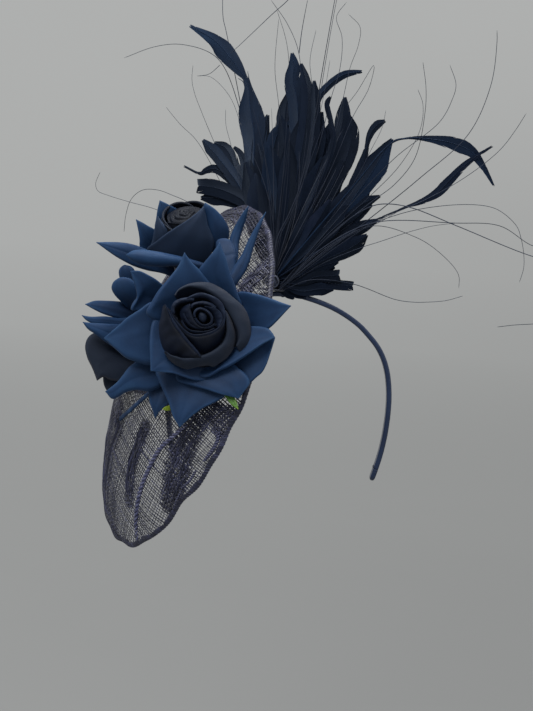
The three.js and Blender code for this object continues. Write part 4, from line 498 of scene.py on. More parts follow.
# rim: group, inner fold, outer edge, lift, curl, tone
RIMS = {
    'a_r1': ('ar', [[-67.0,-103.0,-0.9],[-65.7,-103.0,1.6],[-63.1,-103.0,3.4],[-59.6,-103.0,4.8],[-55.1,-103.0,4.6],[-50.9,-103.0,3.8],[-46.5,-103.0,2.1],[-42.7,-103.0,-0.3],[-39.2,-103.0,-3.1],[-36.0,-103.0,-6.8],[-32.9,-103.0,-11.0],[-30.3,-103.0,-15.3],[-28.2,-103.0,-19.7],[-27.5,-103.0,-23.9],[-28.7,-103.0,-28.5]],
        [[-67.8,-99.0,-0.4],[-65.8,-99.0,2.7],[-62.4,-99.0,5.2],[-58.1,-99.0,7.0],[-52.6,-99.0,8.0],[-47.1,-99.0,7.9],[-42.1,-99.0,6.0],[-37.5,-99.0,3.6],[-32.8,-99.0,0.2],[-27.9,-99.0,-3.5],[-24.6,-99.0,-7.3],[-22.3,-99.0,-12.3],[-20.8,-99.0,-18.6],[-20.8,-99.0,-24.2],[-22.2,-99.0,-29.1],[-26.0,-99.0,-33.4]], 1.5, 1.0, 0.0),
    'a_r2': ('ar', [[-36.9,-104.8,-7.7],[-35.6,-104.8,-13.8],[-34.8,-104.8,-19.3],[-35.2,-104.8,-23.3],[-36.8,-104.8,-27.1],[-38.9,-104.8,-29.4],[-41.3,-104.8,-31.4],[-44.1,-104.8,-33.3],[-47.7,-104.8,-35.1],[-53.1,-104.8,-36.9],[-56.7,-104.8,-37.5],[-60.3,-104.8,-37.8],[-64.0,-104.8,-37.1],[-67.8,-104.8,-36.3],[-71.0,-104.8,-34.6]],
        [[-36.7,-100.8,-7.5],[-33.5,-100.8,-12.0],[-31.2,-100.8,-17.3],[-29.7,-100.8,-22.8],[-30.1,-100.8,-28.4],[-31.7,-100.8,-32.5],[-34.7,-100.8,-36.5],[-38.2,-100.8,-39.4],[-41.7,-100.8,-41.8],[-44.6,-100.8,-41.3],[-49.2,-100.8,-42.1],[-52.9,-100.8,-43.1],[-57.2,-100.8,-44.4],[-60.2,-100.8,-43.9],[-64.8,-100.8,-42.0],[-68.6,-100.8,-39.3],[-71.6,-100.8,-35.4]], 1.5, 1.0, 0.02),
    'a_lface': ('al', [[-73.0,-105.6,-6.6],[-70.7,-105.6,-10.7],[-68.6,-105.6,-14.6],[-65.8,-105.6,-18.8],[-62.2,-105.6,-22.9],[-58.6,-105.6,-27.1],[-54.7,-105.6,-30.9],[-51.6,-105.6,-34.3],[-49.6,-105.6,-36.7]],
        [[-74.5,-98.0,-8.1],[-75.2,-98.0,-14.6],[-75.9,-98.0,-19.1],[-75.5,-98.0,-24.3],[-74.2,-98.0,-29.4],[-72.1,-98.0,-34.0],[-68.9,-98.0,-38.0],[-63.3,-98.0,-40.6],[-54.8,-98.0,-40.6]], 3.2, 0.0, -0.38),
    'a_llip': ('al', [[-72.5,-105.9,-6.5],[-70.0,-105.9,-10.5],[-67.7,-105.9,-14.3],[-64.8,-105.9,-18.2],[-61.3,-105.9,-22.4],[-57.7,-105.9,-26.5],[-53.9,-105.9,-30.3],[-50.8,-105.9,-33.6],[-49.3,-105.9,-36.0]],
        [[-73.4,-105.0,-6.8],[-71.2,-105.0,-11.0],[-69.4,-105.0,-15.0],[-66.8,-105.0,-19.5],[-63.4,-105.0,-23.9],[-59.8,-105.0,-28.1],[-55.8,-105.0,-31.9],[-52.6,-105.0,-35.2],[-50.2,-105.0,-37.1]], 0.8, 0.3, 0.1),
    'a_i1face': ('ad', [[-69.7,-105.0,-10.5],[-67.5,-105.0,-14.2],[-64.3,-105.0,-17.6],[-61.6,-105.0,-20.3],[-58.5,-105.0,-22.7],[-55.4,-105.0,-23.8],[-50.2,-105.0,-23.4],[-46.6,-105.0,-22.4],[-43.1,-105.0,-21.0],[-40.3,-105.0,-18.9],[-37.9,-105.0,-16.2],[-36.9,-105.0,-12.1]],
        [[-71.1,-98.0,-13.6],[-68.6,-98.0,-18.9],[-65.3,-98.0,-23.5],[-61.4,-98.0,-27.8],[-56.9,-98.0,-31.7],[-52.5,-98.0,-34.7],[-48.5,-98.0,-35.9],[-44.7,-98.0,-34.5],[-41.5,-98.0,-32.1],[-38.7,-98.0,-29.2],[-36.5,-98.0,-25.1],[-35.2,-98.0,-18.4]], 2.2, 0.0, -0.34),
    'a_i1low': ('ad', [[-69.2,-105.6,-10.1],[-67.1,-105.6,-13.6],[-63.9,-105.6,-17.0],[-61.2,-105.6,-19.7],[-58.1,-105.6,-21.9],[-55.1,-105.6,-22.9],[-50.3,-105.6,-22.6],[-46.8,-105.6,-21.6],[-43.4,-105.6,-20.2],[-40.7,-105.6,-18.3],[-38.5,-105.6,-15.7],[-37.5,-105.6,-12.5]],
        [[-70.0,-105.0,-10.9],[-67.8,-105.0,-14.7],[-64.6,-105.0,-18.2],[-61.9,-105.0,-21.0],[-58.7,-105.0,-23.4],[-55.5,-105.0,-24.5],[-50.2,-105.0,-24.2],[-46.4,-105.0,-23.2],[-42.7,-105.0,-21.7],[-39.8,-105.0,-19.5],[-37.3,-105.0,-16.6],[-36.4,-105.0,-12.1]], 0.5, 0.5, 0.0),
    'a_i1top': ('ad', [[-60.2,-104.0,-3.6],[-58.5,-104.0,-2.6],[-55.9,-104.0,-1.5],[-51.8,-104.0,-0.7],[-47.4,-104.0,-1.5],[-44.3,-104.0,-4.0],[-41.3,-104.0,-6.7],[-39.0,-104.0,-9.9],[-37.9,-104.0,-12.9],[-38.2,-104.0,-15.3],[-39.7,-104.0,-17.7]],
        [[-60.8,-105.2,-2.9],[-58.8,-105.2,-1.0],[-55.5,-105.2,0.8],[-51.9,-105.2,1.8],[-47.4,-105.2,1.2],[-42.5,-105.2,-0.6],[-38.6,-105.2,-4.0],[-36.7,-105.2,-8.7],[-36.5,-105.2,-13.8],[-37.4,-105.2,-16.7],[-39.2,-105.2,-18.5]], 1.0, 1.6, 0.02),
    'a_i1left': ('ad', [[-66.7,-104.6,-11.5],[-66.9,-104.6,-8.5],[-65.9,-104.6,-6.4],[-63.2,-104.6,-4.7],[-58.9,-104.6,-3.5],[-55.7,-104.6,-3.1]],
        [[-68.6,-104.4,-12.0],[-68.8,-104.4,-7.7],[-67.4,-104.4,-4.7],[-64.0,-104.4,-2.6],[-59.3,-104.4,-1.5],[-55.8,-104.4,-1.5]], 0.9, 1.4, 0.02),
    'a_i2left': ('ad', [[-57.8,-106.0,-5.1],[-57.3,-106.0,-8.6],[-55.6,-106.0,-12.9],[-53.5,-106.0,-16.1],[-51.2,-106.0,-18.0],[-47.4,-106.0,-18.9]],
        [[-59.1,-100.5,-5.4],[-63.4,-100.5,-8.5],[-63.5,-100.5,-12.9],[-60.7,-100.5,-17.2],[-56.2,-100.5,-20.4],[-50.5,-100.5,-21.5]], 2.0, 0.0, -0.2),
    'a_i2top': ('ad', [[-56.8,-105.0,-7.6],[-55.5,-105.0,-5.9],[-52.9,-105.0,-5.0],[-49.7,-105.0,-4.8],[-46.0,-105.0,-5.7],[-43.2,-105.0,-7.6]],
        [[-57.8,-104.6,-6.8],[-56.3,-104.6,-4.8],[-53.1,-104.6,-3.6],[-49.8,-104.6,-3.1],[-45.5,-104.6,-3.9],[-42.1,-104.6,-5.9]], 0.7, 1.2, 0.0),
    'a_i2right': ('ad', [[-49.9,-102.0,-7.5],[-47.7,-102.0,-8.5],[-44.6,-102.0,-10.6],[-42.8,-102.0,-13.5],[-41.8,-102.0,-15.9],[-41.6,-102.0,-18.0]],
        [[-49.2,-105.2,-5.9],[-46.4,-105.2,-6.2],[-42.8,-105.2,-6.6],[-39.6,-105.2,-8.9],[-38.0,-105.2,-12.2],[-39.8,-105.2,-17.8]], 1.0, 1.6, -0.05),
    'a_i3arc1': ('ad', [[-60.9,-105.4,-10.8],[-59.2,-105.4,-14.3],[-56.8,-105.4,-17.0],[-53.5,-105.4,-18.4],[-49.3,-105.4,-18.4],[-45.4,-105.4,-17.6],[-42.3,-105.4,-15.6]],
        [[-61.6,-104.9,-11.2],[-60.0,-104.9,-14.8],[-57.3,-104.9,-17.9],[-53.6,-104.9,-19.4],[-49.2,-104.9,-19.4],[-44.9,-104.9,-18.6],[-41.4,-104.9,-16.2]], 0.4, 0.6, -0.02),
    'a_i3arc2': ('ad', [[-62.1,-105.2,-15.1],[-59.4,-105.2,-18.7],[-56.7,-105.2,-20.5],[-53.3,-105.2,-20.9],[-49.1,-105.2,-20.8],[-45.6,-105.2,-20.0],[-42.6,-105.2,-18.4]],
        [[-62.7,-104.7,-15.6],[-60.0,-104.7,-19.5],[-57.0,-104.7,-21.4],[-53.3,-104.7,-22.0],[-49.1,-104.7,-21.8],[-45.2,-104.7,-21.0],[-41.8,-104.7,-19.1]], 0.4, 0.6, -0.02),
    'a_i3': ('ad', [[-54.1,-106.2,-12.6],[-54.4,-106.2,-10.6],[-53.7,-106.2,-9.1],[-51.7,-106.2,-7.9],[-49.2,-106.2,-8.4],[-46.1,-106.2,-10.5],[-44.7,-106.2,-12.9],[-45.1,-106.2,-15.0],[-47.1,-106.2,-16.5],[-49.8,-106.2,-16.7],[-52.1,-106.2,-15.2],[-53.7,-106.2,-13.1]],
        [[-55.0,-105.6,-12.9],[-55.4,-105.6,-10.4],[-54.5,-105.6,-8.3],[-51.9,-105.6,-6.9],[-48.8,-105.6,-7.5],[-45.3,-105.6,-9.8],[-43.7,-105.6,-12.8],[-44.1,-105.6,-15.7],[-46.8,-105.6,-17.5],[-50.1,-105.6,-17.8],[-52.9,-105.6,-16.0],[-54.6,-105.6,-13.5]], 0.5, 0.8, 0.02),
}

# ------------------------------------------------------------------ sinamay disc
DP = np.array([-62.9, -25.0, -54.7])
DL = np.array([-0.3006, -0.0244, -0.9534]); DL /= np.linalg.norm(DL)
DM = np.array([0.4914, -0.8608, -0.1329]); DM /= np.linalg.norm(DM)
DN = np.cross(DL, DM); DN /= np.linalg.norm(DN)
DA, DB, DH, DPOW = 117.4, 82.0, 26.0, 2.3

def dome(u, v):
    r = np.sqrt((u / DA) ** 2 + (v / DB) ** 2)
    return DH * (1 - np.minimum(r, 1.0) ** DPOW)

def disc(u, v, h):
    u = np.asarray(u, float); v = np.asarray(v, float)
    hd = dome(u, v) + h
    # the lower front edge is drawn in a little and ripples where the cloth is gathered
    r = np.sqrt((u / DA) ** 2 + (v / DB) ** 2); a = np.arctan2(v / DB, u / DA)
    g = np.exp(-(((a - 0.90) / 0.35) ** 2)); r4 = np.clip(r, 0, 1.02) ** 3
    s = 1 - r4 * (0.068 * g + 0.036 * np.exp(-(((a - 1.44) / 0.09) ** 2)) + 0.007 * np.sin(17 * a + 0.6) * np.exp(-(((a - 0.9) / 0.9) ** 2)) + 0.004 * np.sin(23 * a))
    hd = hd + r4 * (0.9 * np.sin(15 * a + 1.0) * np.exp(-(((a - 0.9) / 0.9) ** 2)))
    return DP + (u * s)[..., None] * DL + (v * s)[..., None] * DM + hd[..., None] * DN

def inside(poly, u, v):
    poly = np.asarray(poly, float); ins = np.zeros(np.shape(u), bool)
    j = len(poly) - 1
    for i in range(len(poly)):
        a, b = poly[i], poly[j]
        c = ((a[1] > v) != (b[1] > v)) & (u < (b[0] - a[0]) * (v - a[1]) / (b[1] - a[1] + 1e-12) + a[0])
        ins ^= c; j = i
    return ins

def near_line(line, u, v):
    d = np.full(np.shape(u), 1e9)
    for a, b in zip(line[:-1], line[1:]):
        a = np.array(a, float); b = np.array(b, float); ab = b - a
        t = np.clip(((u - a[0]) * ab[0] + (v - a[1]) * ab[1]) / (ab @ ab), 0, 1)
        d = np.minimum(d, np.hypot(u - a[0] - t * ab[0], v - a[1] - t * ab[1]))
    return d

# where the weave is drawn together: (spine points, half width mm)
DENSE = [
    ([(39, 19), (51, 17), (63, 14), (75, 13.7), (86, 14.5)], 5.0),
    ([(14, 61), (26, 58.6), (40, 56), (56, 55), (77, 54)], 8.2),
    ([(46, -13.7), (65, -22), (86, -26.5), (102, -27), (112, -16)], 3.8),
    ([(35, -35), (41, -23), (50, -22)], 5.5),
    ([(10, 62), (11, 74), (9, 80)], 7.0),
    ([(17, 74), (20, 79)], 4.5),
    ([(-92, 53.5), (-80, 51.6), (-71, 49.6), (-60, 50)], 4.6),
    ([(-105, -34), (-109, -16), (-109, 1)], 5.0),
    ([(58, -50), (75, -44), (95, -34), (108, -26)], 5.0),
    ([(-60, -62), (-30, -70), (0, -73), (30, -70)], 6.0),
    ([(-96, -30), (-70, -10), (-40, -2)], 6.0),
    ([(-20, -30), (4, -26), (20, -16)], 5.0),
]
def density(u, v):
    k = np.zeros(np.shape(u))
    for line, w in DENSE:
        k = np.maximum(k, 1 - np.clip((near_line(line, u, v) - w * 0.75) / (w * 0.5), 0, 1))
    return k

def lattice(bag_name, angle, pitch, step, width, h0, amp, parity, mat, seed, seg_tone=0.45, sides=4, slub=0.05, bend=0.0):
    """All the threads of one direction of one layer, passing over and under the other direction."""
    rng = np.random.default_rng(seed)
    ca, sa = math.cos(angle), math.sin(angle)
    bag = Bag()
    R = DA * 1.0
    k = int(R / pitch) + 1
    for i in range(-k, k + 1):
        q0 = i * pitch + rng.normal(0, 0.06 * pitch)
        s = np.arange(-R, R + step, step)
        q = q0 + 0.14 * pitch * np.sin(s / 17.0 + rng.uniform(0, 6.28)) + bend * (s / R) ** 2 * q0
        u = s * ca - q * sa; v = s * sa + q * ca
        r = np.sqrt((u / DA) ** 2 + (v / DB) ** 2)
        ok = r <= 0.988
        if ok.sum() < 4: continue
        i0 = np.argmax(ok); i1 = len(ok) - np.argmax(ok[::-1])
        u, v, s, q = u[i0:i1], v[i0:i1], s[i0:i1], q[i0:i1]
        over = ((np.round(s / pitch).astype(int) + i + parity) % 2) * 2.0 - 1.0
        ph = np.cos(math.pi * (s / pitch)) * (1 if (i + parity) % 2 else -1)
        h = h0 + amp * ph
        w = width * (1.0 + 0.30 * np.sin(s / 9.0 + rng.uniform(0, 6.28)) + 0.18 * rng.normal(size=len(s)))
        if rng.random() < slub:
            c = rng.uniform(s[0], s[-1]); L = rng.uniform(10, 34)
            w = w * (1 + rng.uniform(0.7, 1.6) * np.exp(-((s - c) / L) ** 2))
        dn = density(u, v)
        w = w * (1 + 2.3 * dn); w = np.clip(w, 0.18, pitch * 0.985)
        # tone: each thread's own tone varying at random, plus a painted highlight where the thread rides up (the ph
        # term)
        tone = np.clip(rng.normal(seg_tone, 0.13) + 0.13 * np.sin(s / 6.0 + rng.uniform(0, 6.28)) + 0.05 * rng.normal(size=len(s)) + 0.12 * ph + 0.06 * dn, 0, 1)
        C = disc(u, v, h)
        T = np.gradient(C, axis=0); T /= np.linalg.norm(T, axis=1)[:, None]
        B = np.cross(T, DN); B /= np.linalg.norm(B, axis=1)[:, None]
        Nn = np.cross(B, T)
        t = 0.16 + 0.05 * dn
        if sides == 4:
            P = np.stack([C - B * (w / 2)[:, None], C + Nn * t[:, None], C + B * (w / 2)[:, None], C - Nn * t[:, None]], 1)
            bag.grid(P, closed_u=True, tone=np.repeat(tone[:, None], 4, 1))
        else:
            P = np.stack([C - B * (w / 2)[:, None], C + Nn * t[:, None], C + B * (w / 2)[:, None]], 1)
            bag.grid(P, tone=np.repeat(tone[:, None], 3, 1))
    return bag

A0 = math.radians(-21.0)
lattice("warp", A0, 1.95, 0.975, 0.60, 0.75, 0.20, 0, SINAMAY, 11).done("sinamay_outer_warp", SINAMAY, nodes=("sinamay_outer_layer",), slot="sinamay")
lattice("weft", A0 + math.pi / 2, 1.75, 0.975, 0.60, 0.75, 0.20, 1, SINAMAY, 12).done("sinamay_outer_weft", SINAMAY, nodes=("sinamay_outer_layer",), slot="sinamay")
A1 = A0 + math.radians(1.2)
lattice("warp2", A1, 1.95, 0.975, 0.22, -0.35, 0.15, 0, SINAMAY_IN, 13, 0.35).done("sinamay_inner_warp", SINAMAY_IN, nodes=("sinamay_inner_layer",), slot="sinamay")
lattice("weft2", A1 + math.pi / 2, 1.75, 0.975, 0.22, -0.35, 0.15, 1, SINAMAY_IN, 14, 0.35).done("sinamay_inner_weft", SINAMAY_IN, nodes=("sinamay_inner_layer",), slot="sinamay")

# drawn cords and slubs lying on the weave
def surface_cord(bag, line, r, plies, turns, h, tone):
    C2 = catmull(np.array(line, float), 90)
    u, v = C2[:, 0], C2[:, 1]
    base = disc(u, v, np.full(len(u), h))
    T, A, B = frames(base)
    s = np.linspace(0, turns * 2 * math.pi, len(u))
    for k in range(plies):
        a = s + 2 * math.pi * k / plies
        C = base + (np.cos(a)[:, None] * A + np.sin(a)[:, None] * B) * r * 0.55
        taper = np.sin(np.linspace(0.06, math.pi - 0.06, len(u))) ** 0.35
        tube(bag, C, r * 0.62 * taper, 6, tone=tone)

cb = Bag()
# the high tones given to the cords (0.98, 0.78, 0.72) paint highlights along them
surface_cord(cb, [(24, 56), (31.8, 50.6), (42.3, 43.1), (56.8, 35.6), (71.8, 30.2), (86.9, 27.2), (101, 25.7), (110, 27.0)], 1.5, 2, 15, 2.2, 0.98)
surface_cord(cb, [(20, 77), (27, 77.2), (34, 75.6), (42, 73)], 1.2, 2, 6, 1.9, 0.78)
surface_cord(cb, [(50, 68.5), (58, 66), (66, 62)], 0.9, 2, 5, 1.7, 0.72)
for line, w in DENSE:
    L = np.array(line, float)
    for j in range(7):
        off = (RNG.random() - 0.5) * 1.7 * w
        d = np.gradient(L, axis=0); d /= np.linalg.norm(d, axis=1)[:, None]
        Q = L + np.stack([-d[:, 1], d[:, 0]], 1) * off
        Q = Q + RNG.normal(0, 0.5, Q.shape)
        rr = np.sqrt((Q[:, 0] / DA) ** 2 + (Q[:, 1] / DB) ** 2)
        Q = Q / np.maximum(1, rr / 0.95)[:, None]
        C2 = catmull(Q, 60); u, v = C2[:, 0], C2[:, 1]
        C = disc(u, v, 1.15 + 0.25 * np.sin(np.linspace(0, 9 + 3 * j, 60)))
        tp = np.sin(np.linspace(0.05, math.pi - 0.05, 60)) ** 0.5
        tube(cb, C, RNG.uniform(0.28, 0.5) * tp, 5, tone=np.clip(0.5 + 0.25 * np.sin(np.linspace(0, 17, 60) + j), 0, 1))
cb.done("sinamay_slub_cords", SINAMAY_SLUB, slot="sinamay")

# bound edge: a bias strip of the same cloth folded round the wire
def edge_binding():
    bag = Bag()
    nth = 420
    th = np.linspace(0, 2 * np.pi, nth, endpoint=False)
    prof = [(115.3, 1.15), (115.8, 1.3), (116.3, 1.25), (116.9, 1.05), (117.4, 0.65), (117.7, 0.0), (117.4, -0.65), (116.9, -1.05), (116.3, -1.25), (115.8, -1.3), (115.3, -1.15), (115.3, -0.95), (115.9, -1.0), (116.7, -0.55), (117.1, 0.0), (116.7, 0.55), (115.9, 1.0), (115.3, 0.95)]
    pr = np.array(prof)
    wob = 0.28 * np.sin(th * 41) + 0.2 * np.sin(th * 23 + 1) + 0.15 * RNG.normal(size=nth)
    rho = pr[None, :, 0] + wob[:, None] * (pr[None, :, 0] < 115.85) * 1.6
    h = pr[None, :, 1] * (1 + 0.06 * np.sin(th * 57)[:, None])
    lx = rho * np.cos(th)[:, None]; ly = rho * np.sin(th)[:, None] * DB / DA
    P = disc(lx, ly, h)
    tone = 0.42 + 0.16 * np.sin(th * 160)[:, None] * np.ones((1, len(prof))) + 0.12 * RNG.normal(size=(nth, 1))
    P = np.concatenate([P, P[:1]]); tone = np.concatenate([tone, tone[:1]])
    bag.grid(P, closed_u=True, tone=np.clip(tone, 0, 1))
    # whipping threads over the fold
    for k in range(300):
        a = 2 * math.pi * (k + 0.3 * RNG.random()) / 300
        pts = []
        for (rr, hh, da) in ((114.7, 1.3, 0.0), (116.0, 1.5, 0.006), (117.2, 1.0, 0.012), (117.9, 0.0, 0.018), (117.2, -1.0, 0.024), (116.0, -1.5, 0.03), (114.7, -1.3, 0.036)):
            aa = a + da
            pts.append(disc(np.array(rr * math.cos(aa)), np.array(rr * math.sin(aa) * DB / DA), np.array(hh)))
        tube(bag, catmull(np.array(pts), 12), 0.17, 4, tone=float(np.clip(RNG.normal(0.5, 0.2), 0, 1)))
    return bag.done("bias_binding_cloth", SINAMAY_SLUB, nodes=("bias_binding",), slot="satin")
edge_binding()
b = Bag()
wa = np.linspace(0, 2 * math.pi, 301)
tube(b, disc(115.9 * np.cos(wa), 115.9 * np.sin(wa) * DB / DA, np.zeros(301)), 0.55, 8, cap=False)
b.done("brim_wire_bent", WIRE, nodes=("brim_wire",), slot="wire")

# ------------------------------------------------------------------ headband
BL = [[0, 1.7], [7, 1.7], [15.1, 0.1], [23, -2], [31.6, -5], [40.9, -9.5], [50.4, -15.7], [56.8, -21.6], [63.4, -28.9], [68.2, -37], [71.3, -45.9], [72.7, -53], [73.7, -62], [73.9, -71.1], [73.6, -79], [72.6, -90], [70.6, -102], [67.6, -114], [66, -119.5]]
full = [[-x, 0, z] for x, z in BL[:0:-1]] + [[x, 0, z] for x, z in BL]
BAND = catmull(np.array(full, float), 520)
BS = np.r_[0, np.cumsum(np.linalg.norm(np.diff(BAND, axis=0), axis=1))]
BLEN = BS[-1]
def band_at(s):
    """centre, tangent and outward normal at arc length s from the wearer's right tip"""
    C = np.stack([np.interp(s, BS, BAND[:, j]) for j in range(3)], -1)
    e = 0.6
    T = np.stack([np.interp(s + e, BS, BAND[:, j]) - np.interp(s - e, BS, BAND[:, j]) for j in range(3)], -1)
    T /= np.linalg.norm(T, axis=-1)[..., None]
    O = np.stack([-T[..., 2], 0 * T[..., 0], T[..., 0]], -1)
    return C, T, O
def rrect(hx, hy, r, n=7):
    pts = []
    for cx, cy, a0 in ((hx - r, hy - r, 0), (-hx + r, hy - r, 90), (-hx + r, -hy + r, 180), (hx - r, -hy + r, 270)):
        for k in range(n):
            a = math.radians(a0 + 90 * k / (n - 1)); pts.append((cx + r * math.cos(a), cy + r * math.sin(a)))
    return np.array(pts)
def band_sweep(bag, s, sect, fn=None, **attrs):
    C, T, O = band_at(s); Y = np.array([0.0, 1, 0])
    sx = np.broadcast_to(sect[None, :, 0], (len(s), len(sect))).copy(); sy = np.broadcast_to(sect[None, :, 1], (len(s), len(sect))).copy()
    if fn: sx, sy = fn(s, sx, sy)
    P = C[:, None, :] + sx[..., None] * Y + sy[..., None] * O[:, None, :]
    bag.grid(P, closed_u=True, **attrs)
TIP = 9.0
bag = Bag()
s = np.linspace(TIP + 0.1, BLEN - TIP - 0.1, 420)
sect = rrect(4.5, 1.7, 1.25, 8)
def satin_folds(s, sx, sy):
    # the ribbon is wound on at a slant: each lap makes a faint ridge
    lap = (s[:, None] + 0.9 * sx) % 11.0
    rid = np.exp(-(lap / 0.5) ** 2) - 0.4 * np.exp(-((lap - 0.9) / 0.6) ** 2)
    return sx * (1 + 0.008 * rid), sy * (1 + 0.05 * rid)
band_sweep(bag, s, sect, satin_folds)
cov = bag.done("band_satin", SATIN, body=None, nodes=("band_cover_right", "band_cover_left"), slot="satin")
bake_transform(cov)
bag = Bag()
band_sweep(bag, np.linspace(5.5, BLEN - 5.5, 300), rrect(3.5, 0.72, 0.4, 4))
core = bag.done("band_core", CORE_M, body=None, nodes=("band_core_right", "band_core_left"), slot="band_core")
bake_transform(core)
def tip(name, node, body, left):
    bag = Bag()
    a = np.linspace(0, 1, 26)
    ss = (BLEN - TIP + 0.25 + a * (TIP - 0.3)) if left else (TIP - 0.25 - a * (TIP - 0.3))
    def shape(s, sx, sy):
        k = np.sqrt(np.clip(1 - np.clip((a - 0.62) / 0.38, 0, 1) ** 2.2, 0.0, 1))[:, None]
        fold = 1 + 0.05 * np.exp(-((a - 0.12) / 0.04) ** 2)[:, None] + 0.03 * np.exp(-((a - 0.3) / 0.05) ** 2)[:, None]
        return sx * (0.12 + 0.88 * k) * fold, sy * (0.2 + 0.8 * k) * fold
    sc = sect * np.array([1.0, 1.0])
    band_sweep(bag, ss, sc, shape)
    # the slip stitches
    ob = bag.done(name, SATIN, body=body, nodes=(node,), slot="satin")
    sb = Bag()
    for k in range(5):
        s0 = (BLEN - TIP - 0.4 + 0.0) if left else (TIP + 0.4)
        y = -3.2 + 1.6 * k
        q = np.linspace(-0.8, 0.8, 7)
        C, T, O = band_at(np.full(7, s0) + q)
        tube(sb, C - O * (1.72 + 0.12 * np.cos(q * 1.6))[:, None] + np.array([0, 1, 0]) * (y + 0.35 * q)[:, None], 0.13, 5)
    sb.done(name + "_stitches", THREAD, body=body, slot="thread")
tip("band_tip_right_satin", "band_tip_right", "headpiece", False)
tip("band_tip_left_satin", "band_tip_left", "left_arm", True)

# ties round the band beside the riser
HALF = BLEN / 2
def ties(name, node, s_mid):
    bag = Bag()
    n = 160
    a = np.linspace(0, 2 * math.pi * 5, n)
    s = np.linspace(-2.0, 2.0, n) + HALF + s_mid
    C, T, O = band_at(s)
    c, sn = np.cos(a), np.sin(a)
    k = 1 / (np.abs(c) ** 6 + np.abs(sn) ** 6) ** (1 / 6)
    P = C + (5.1 * c * k)[:, None] * np.array([0, 1, 0]) + (2.25 * sn * k)[:, None] * O
    tube(bag, P, 0.24, 6)
    bag.done(name, THREAD, nodes=(node,), slot="thread")
ties("band_tie_1", "band_stitch_1", -72.0)
ties("band_tie_2", "band_stitch_2", -128.0)

# riser: the CAD pad's form, softened into felt
def soft_copy(name, node, voxel, mat, smooth=6):
    src = NODES[node]
    me = src.data.copy(); ob = bpy.data.objects.new(name, me)
    bpy.context.scene.collection.objects.link(ob)
    r = ob.modifiers.new("r", "REMESH"); r.mode = "VOXEL"; r.voxel_size = voxel
    sm = ob.modifiers.new("s", "SMOOTH"); sm.factor = 0.5; sm.iterations = smooth
    dg = bpy.context.evaluated_depsgraph_get()
    me2 = bpy.data.meshes.new_from_object(ob.evaluated_get(dg)); ob.modifiers.clear(); ob.data = me2
    me2.materials.clear(); me2.materials.append(mat); me2.polygons.foreach_set("use_smooth", [True] * len(me2.polygons))
    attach(ob, "headpiece"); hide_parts(node)
    return ob
soft_copy("bandeau_riser_felt", "bandeau_riser", 0.0009, FELT, 5)

# ------------------------------------------------------------------ feather mount
RX, RY, RZ = -10.0, 2.0, 9.9
bag = Bag()
n = 60; th = np.linspace(0, 2 * np.pi, 73)[:-1]
prof = [(0.0, 3.78), (9.2, 3.78), (9.9, 4.0), (10.1, 4.4), (9.8, 4.8), (9.0, 4.95), (4.0, 5.0), (0.0, 5.0)]
P = np.array([[[RX + r * math.cos(t) * (1 + 0.012 * math.sin(9 * t)), RY + r * 1.5 * math.sin(t), z] for t in th] for r, z in prof])
bag.grid(P, closed_u=True)
bag.done("feather_pad_felt", FELT, nodes=("feather_mount_pad",), slot="felt")
bag = Bag()
a = np.linspace(0, 2 * math.pi * 34, 34 * 18)
y = np.linspace(-14.4, 14.4, len(a))
rr = 4.32 + 0.16 * np.sin(a * 0.37) - 0.5 * (np.abs(y) / 14.4) ** 5
C = np.stack([RX + rr * np.cos(a), RY + y, RZ + rr * np.sin(a)], 1)
tube(bag, C, 0.46, 6)
yy = np.linspace(-14.6, 14.6, 20)
tube(bag, np.stack([np.full(20, RX), RY + yy, np.full(20, RZ)], 1), 3.95, 16)
bag.done("feather_binding_thread", THREAD, nodes=("feather_mount_binding",), slot="thread")

# ------------------------------------------------------------------ feathers
def GR(r): return 0.9 + 0.0125 * r

def ribbons(bag, P, tone):
    """P[k, n, 2, 3]: k ribbons of n stations; tone[k, n]."""
    K, n = P.shape[:2]
    idx = (np.arange(K * n * 2).reshape(K, n, 2)) + bag.n
    q = np.stack([idx[:, :-1, 0], idx[:, :-1, 1], idx[:, 1:, 1], idx[:, 1:, 0]], -1).reshape(-1, 4)
    bag.v.append(P.reshape(-1, 3)); bag.f.append(q); bag.n += K * n * 2
    bag.a.setdefault("tone", []).append(np.repeat(tone[:, :, None], 2, 2).reshape(-1))

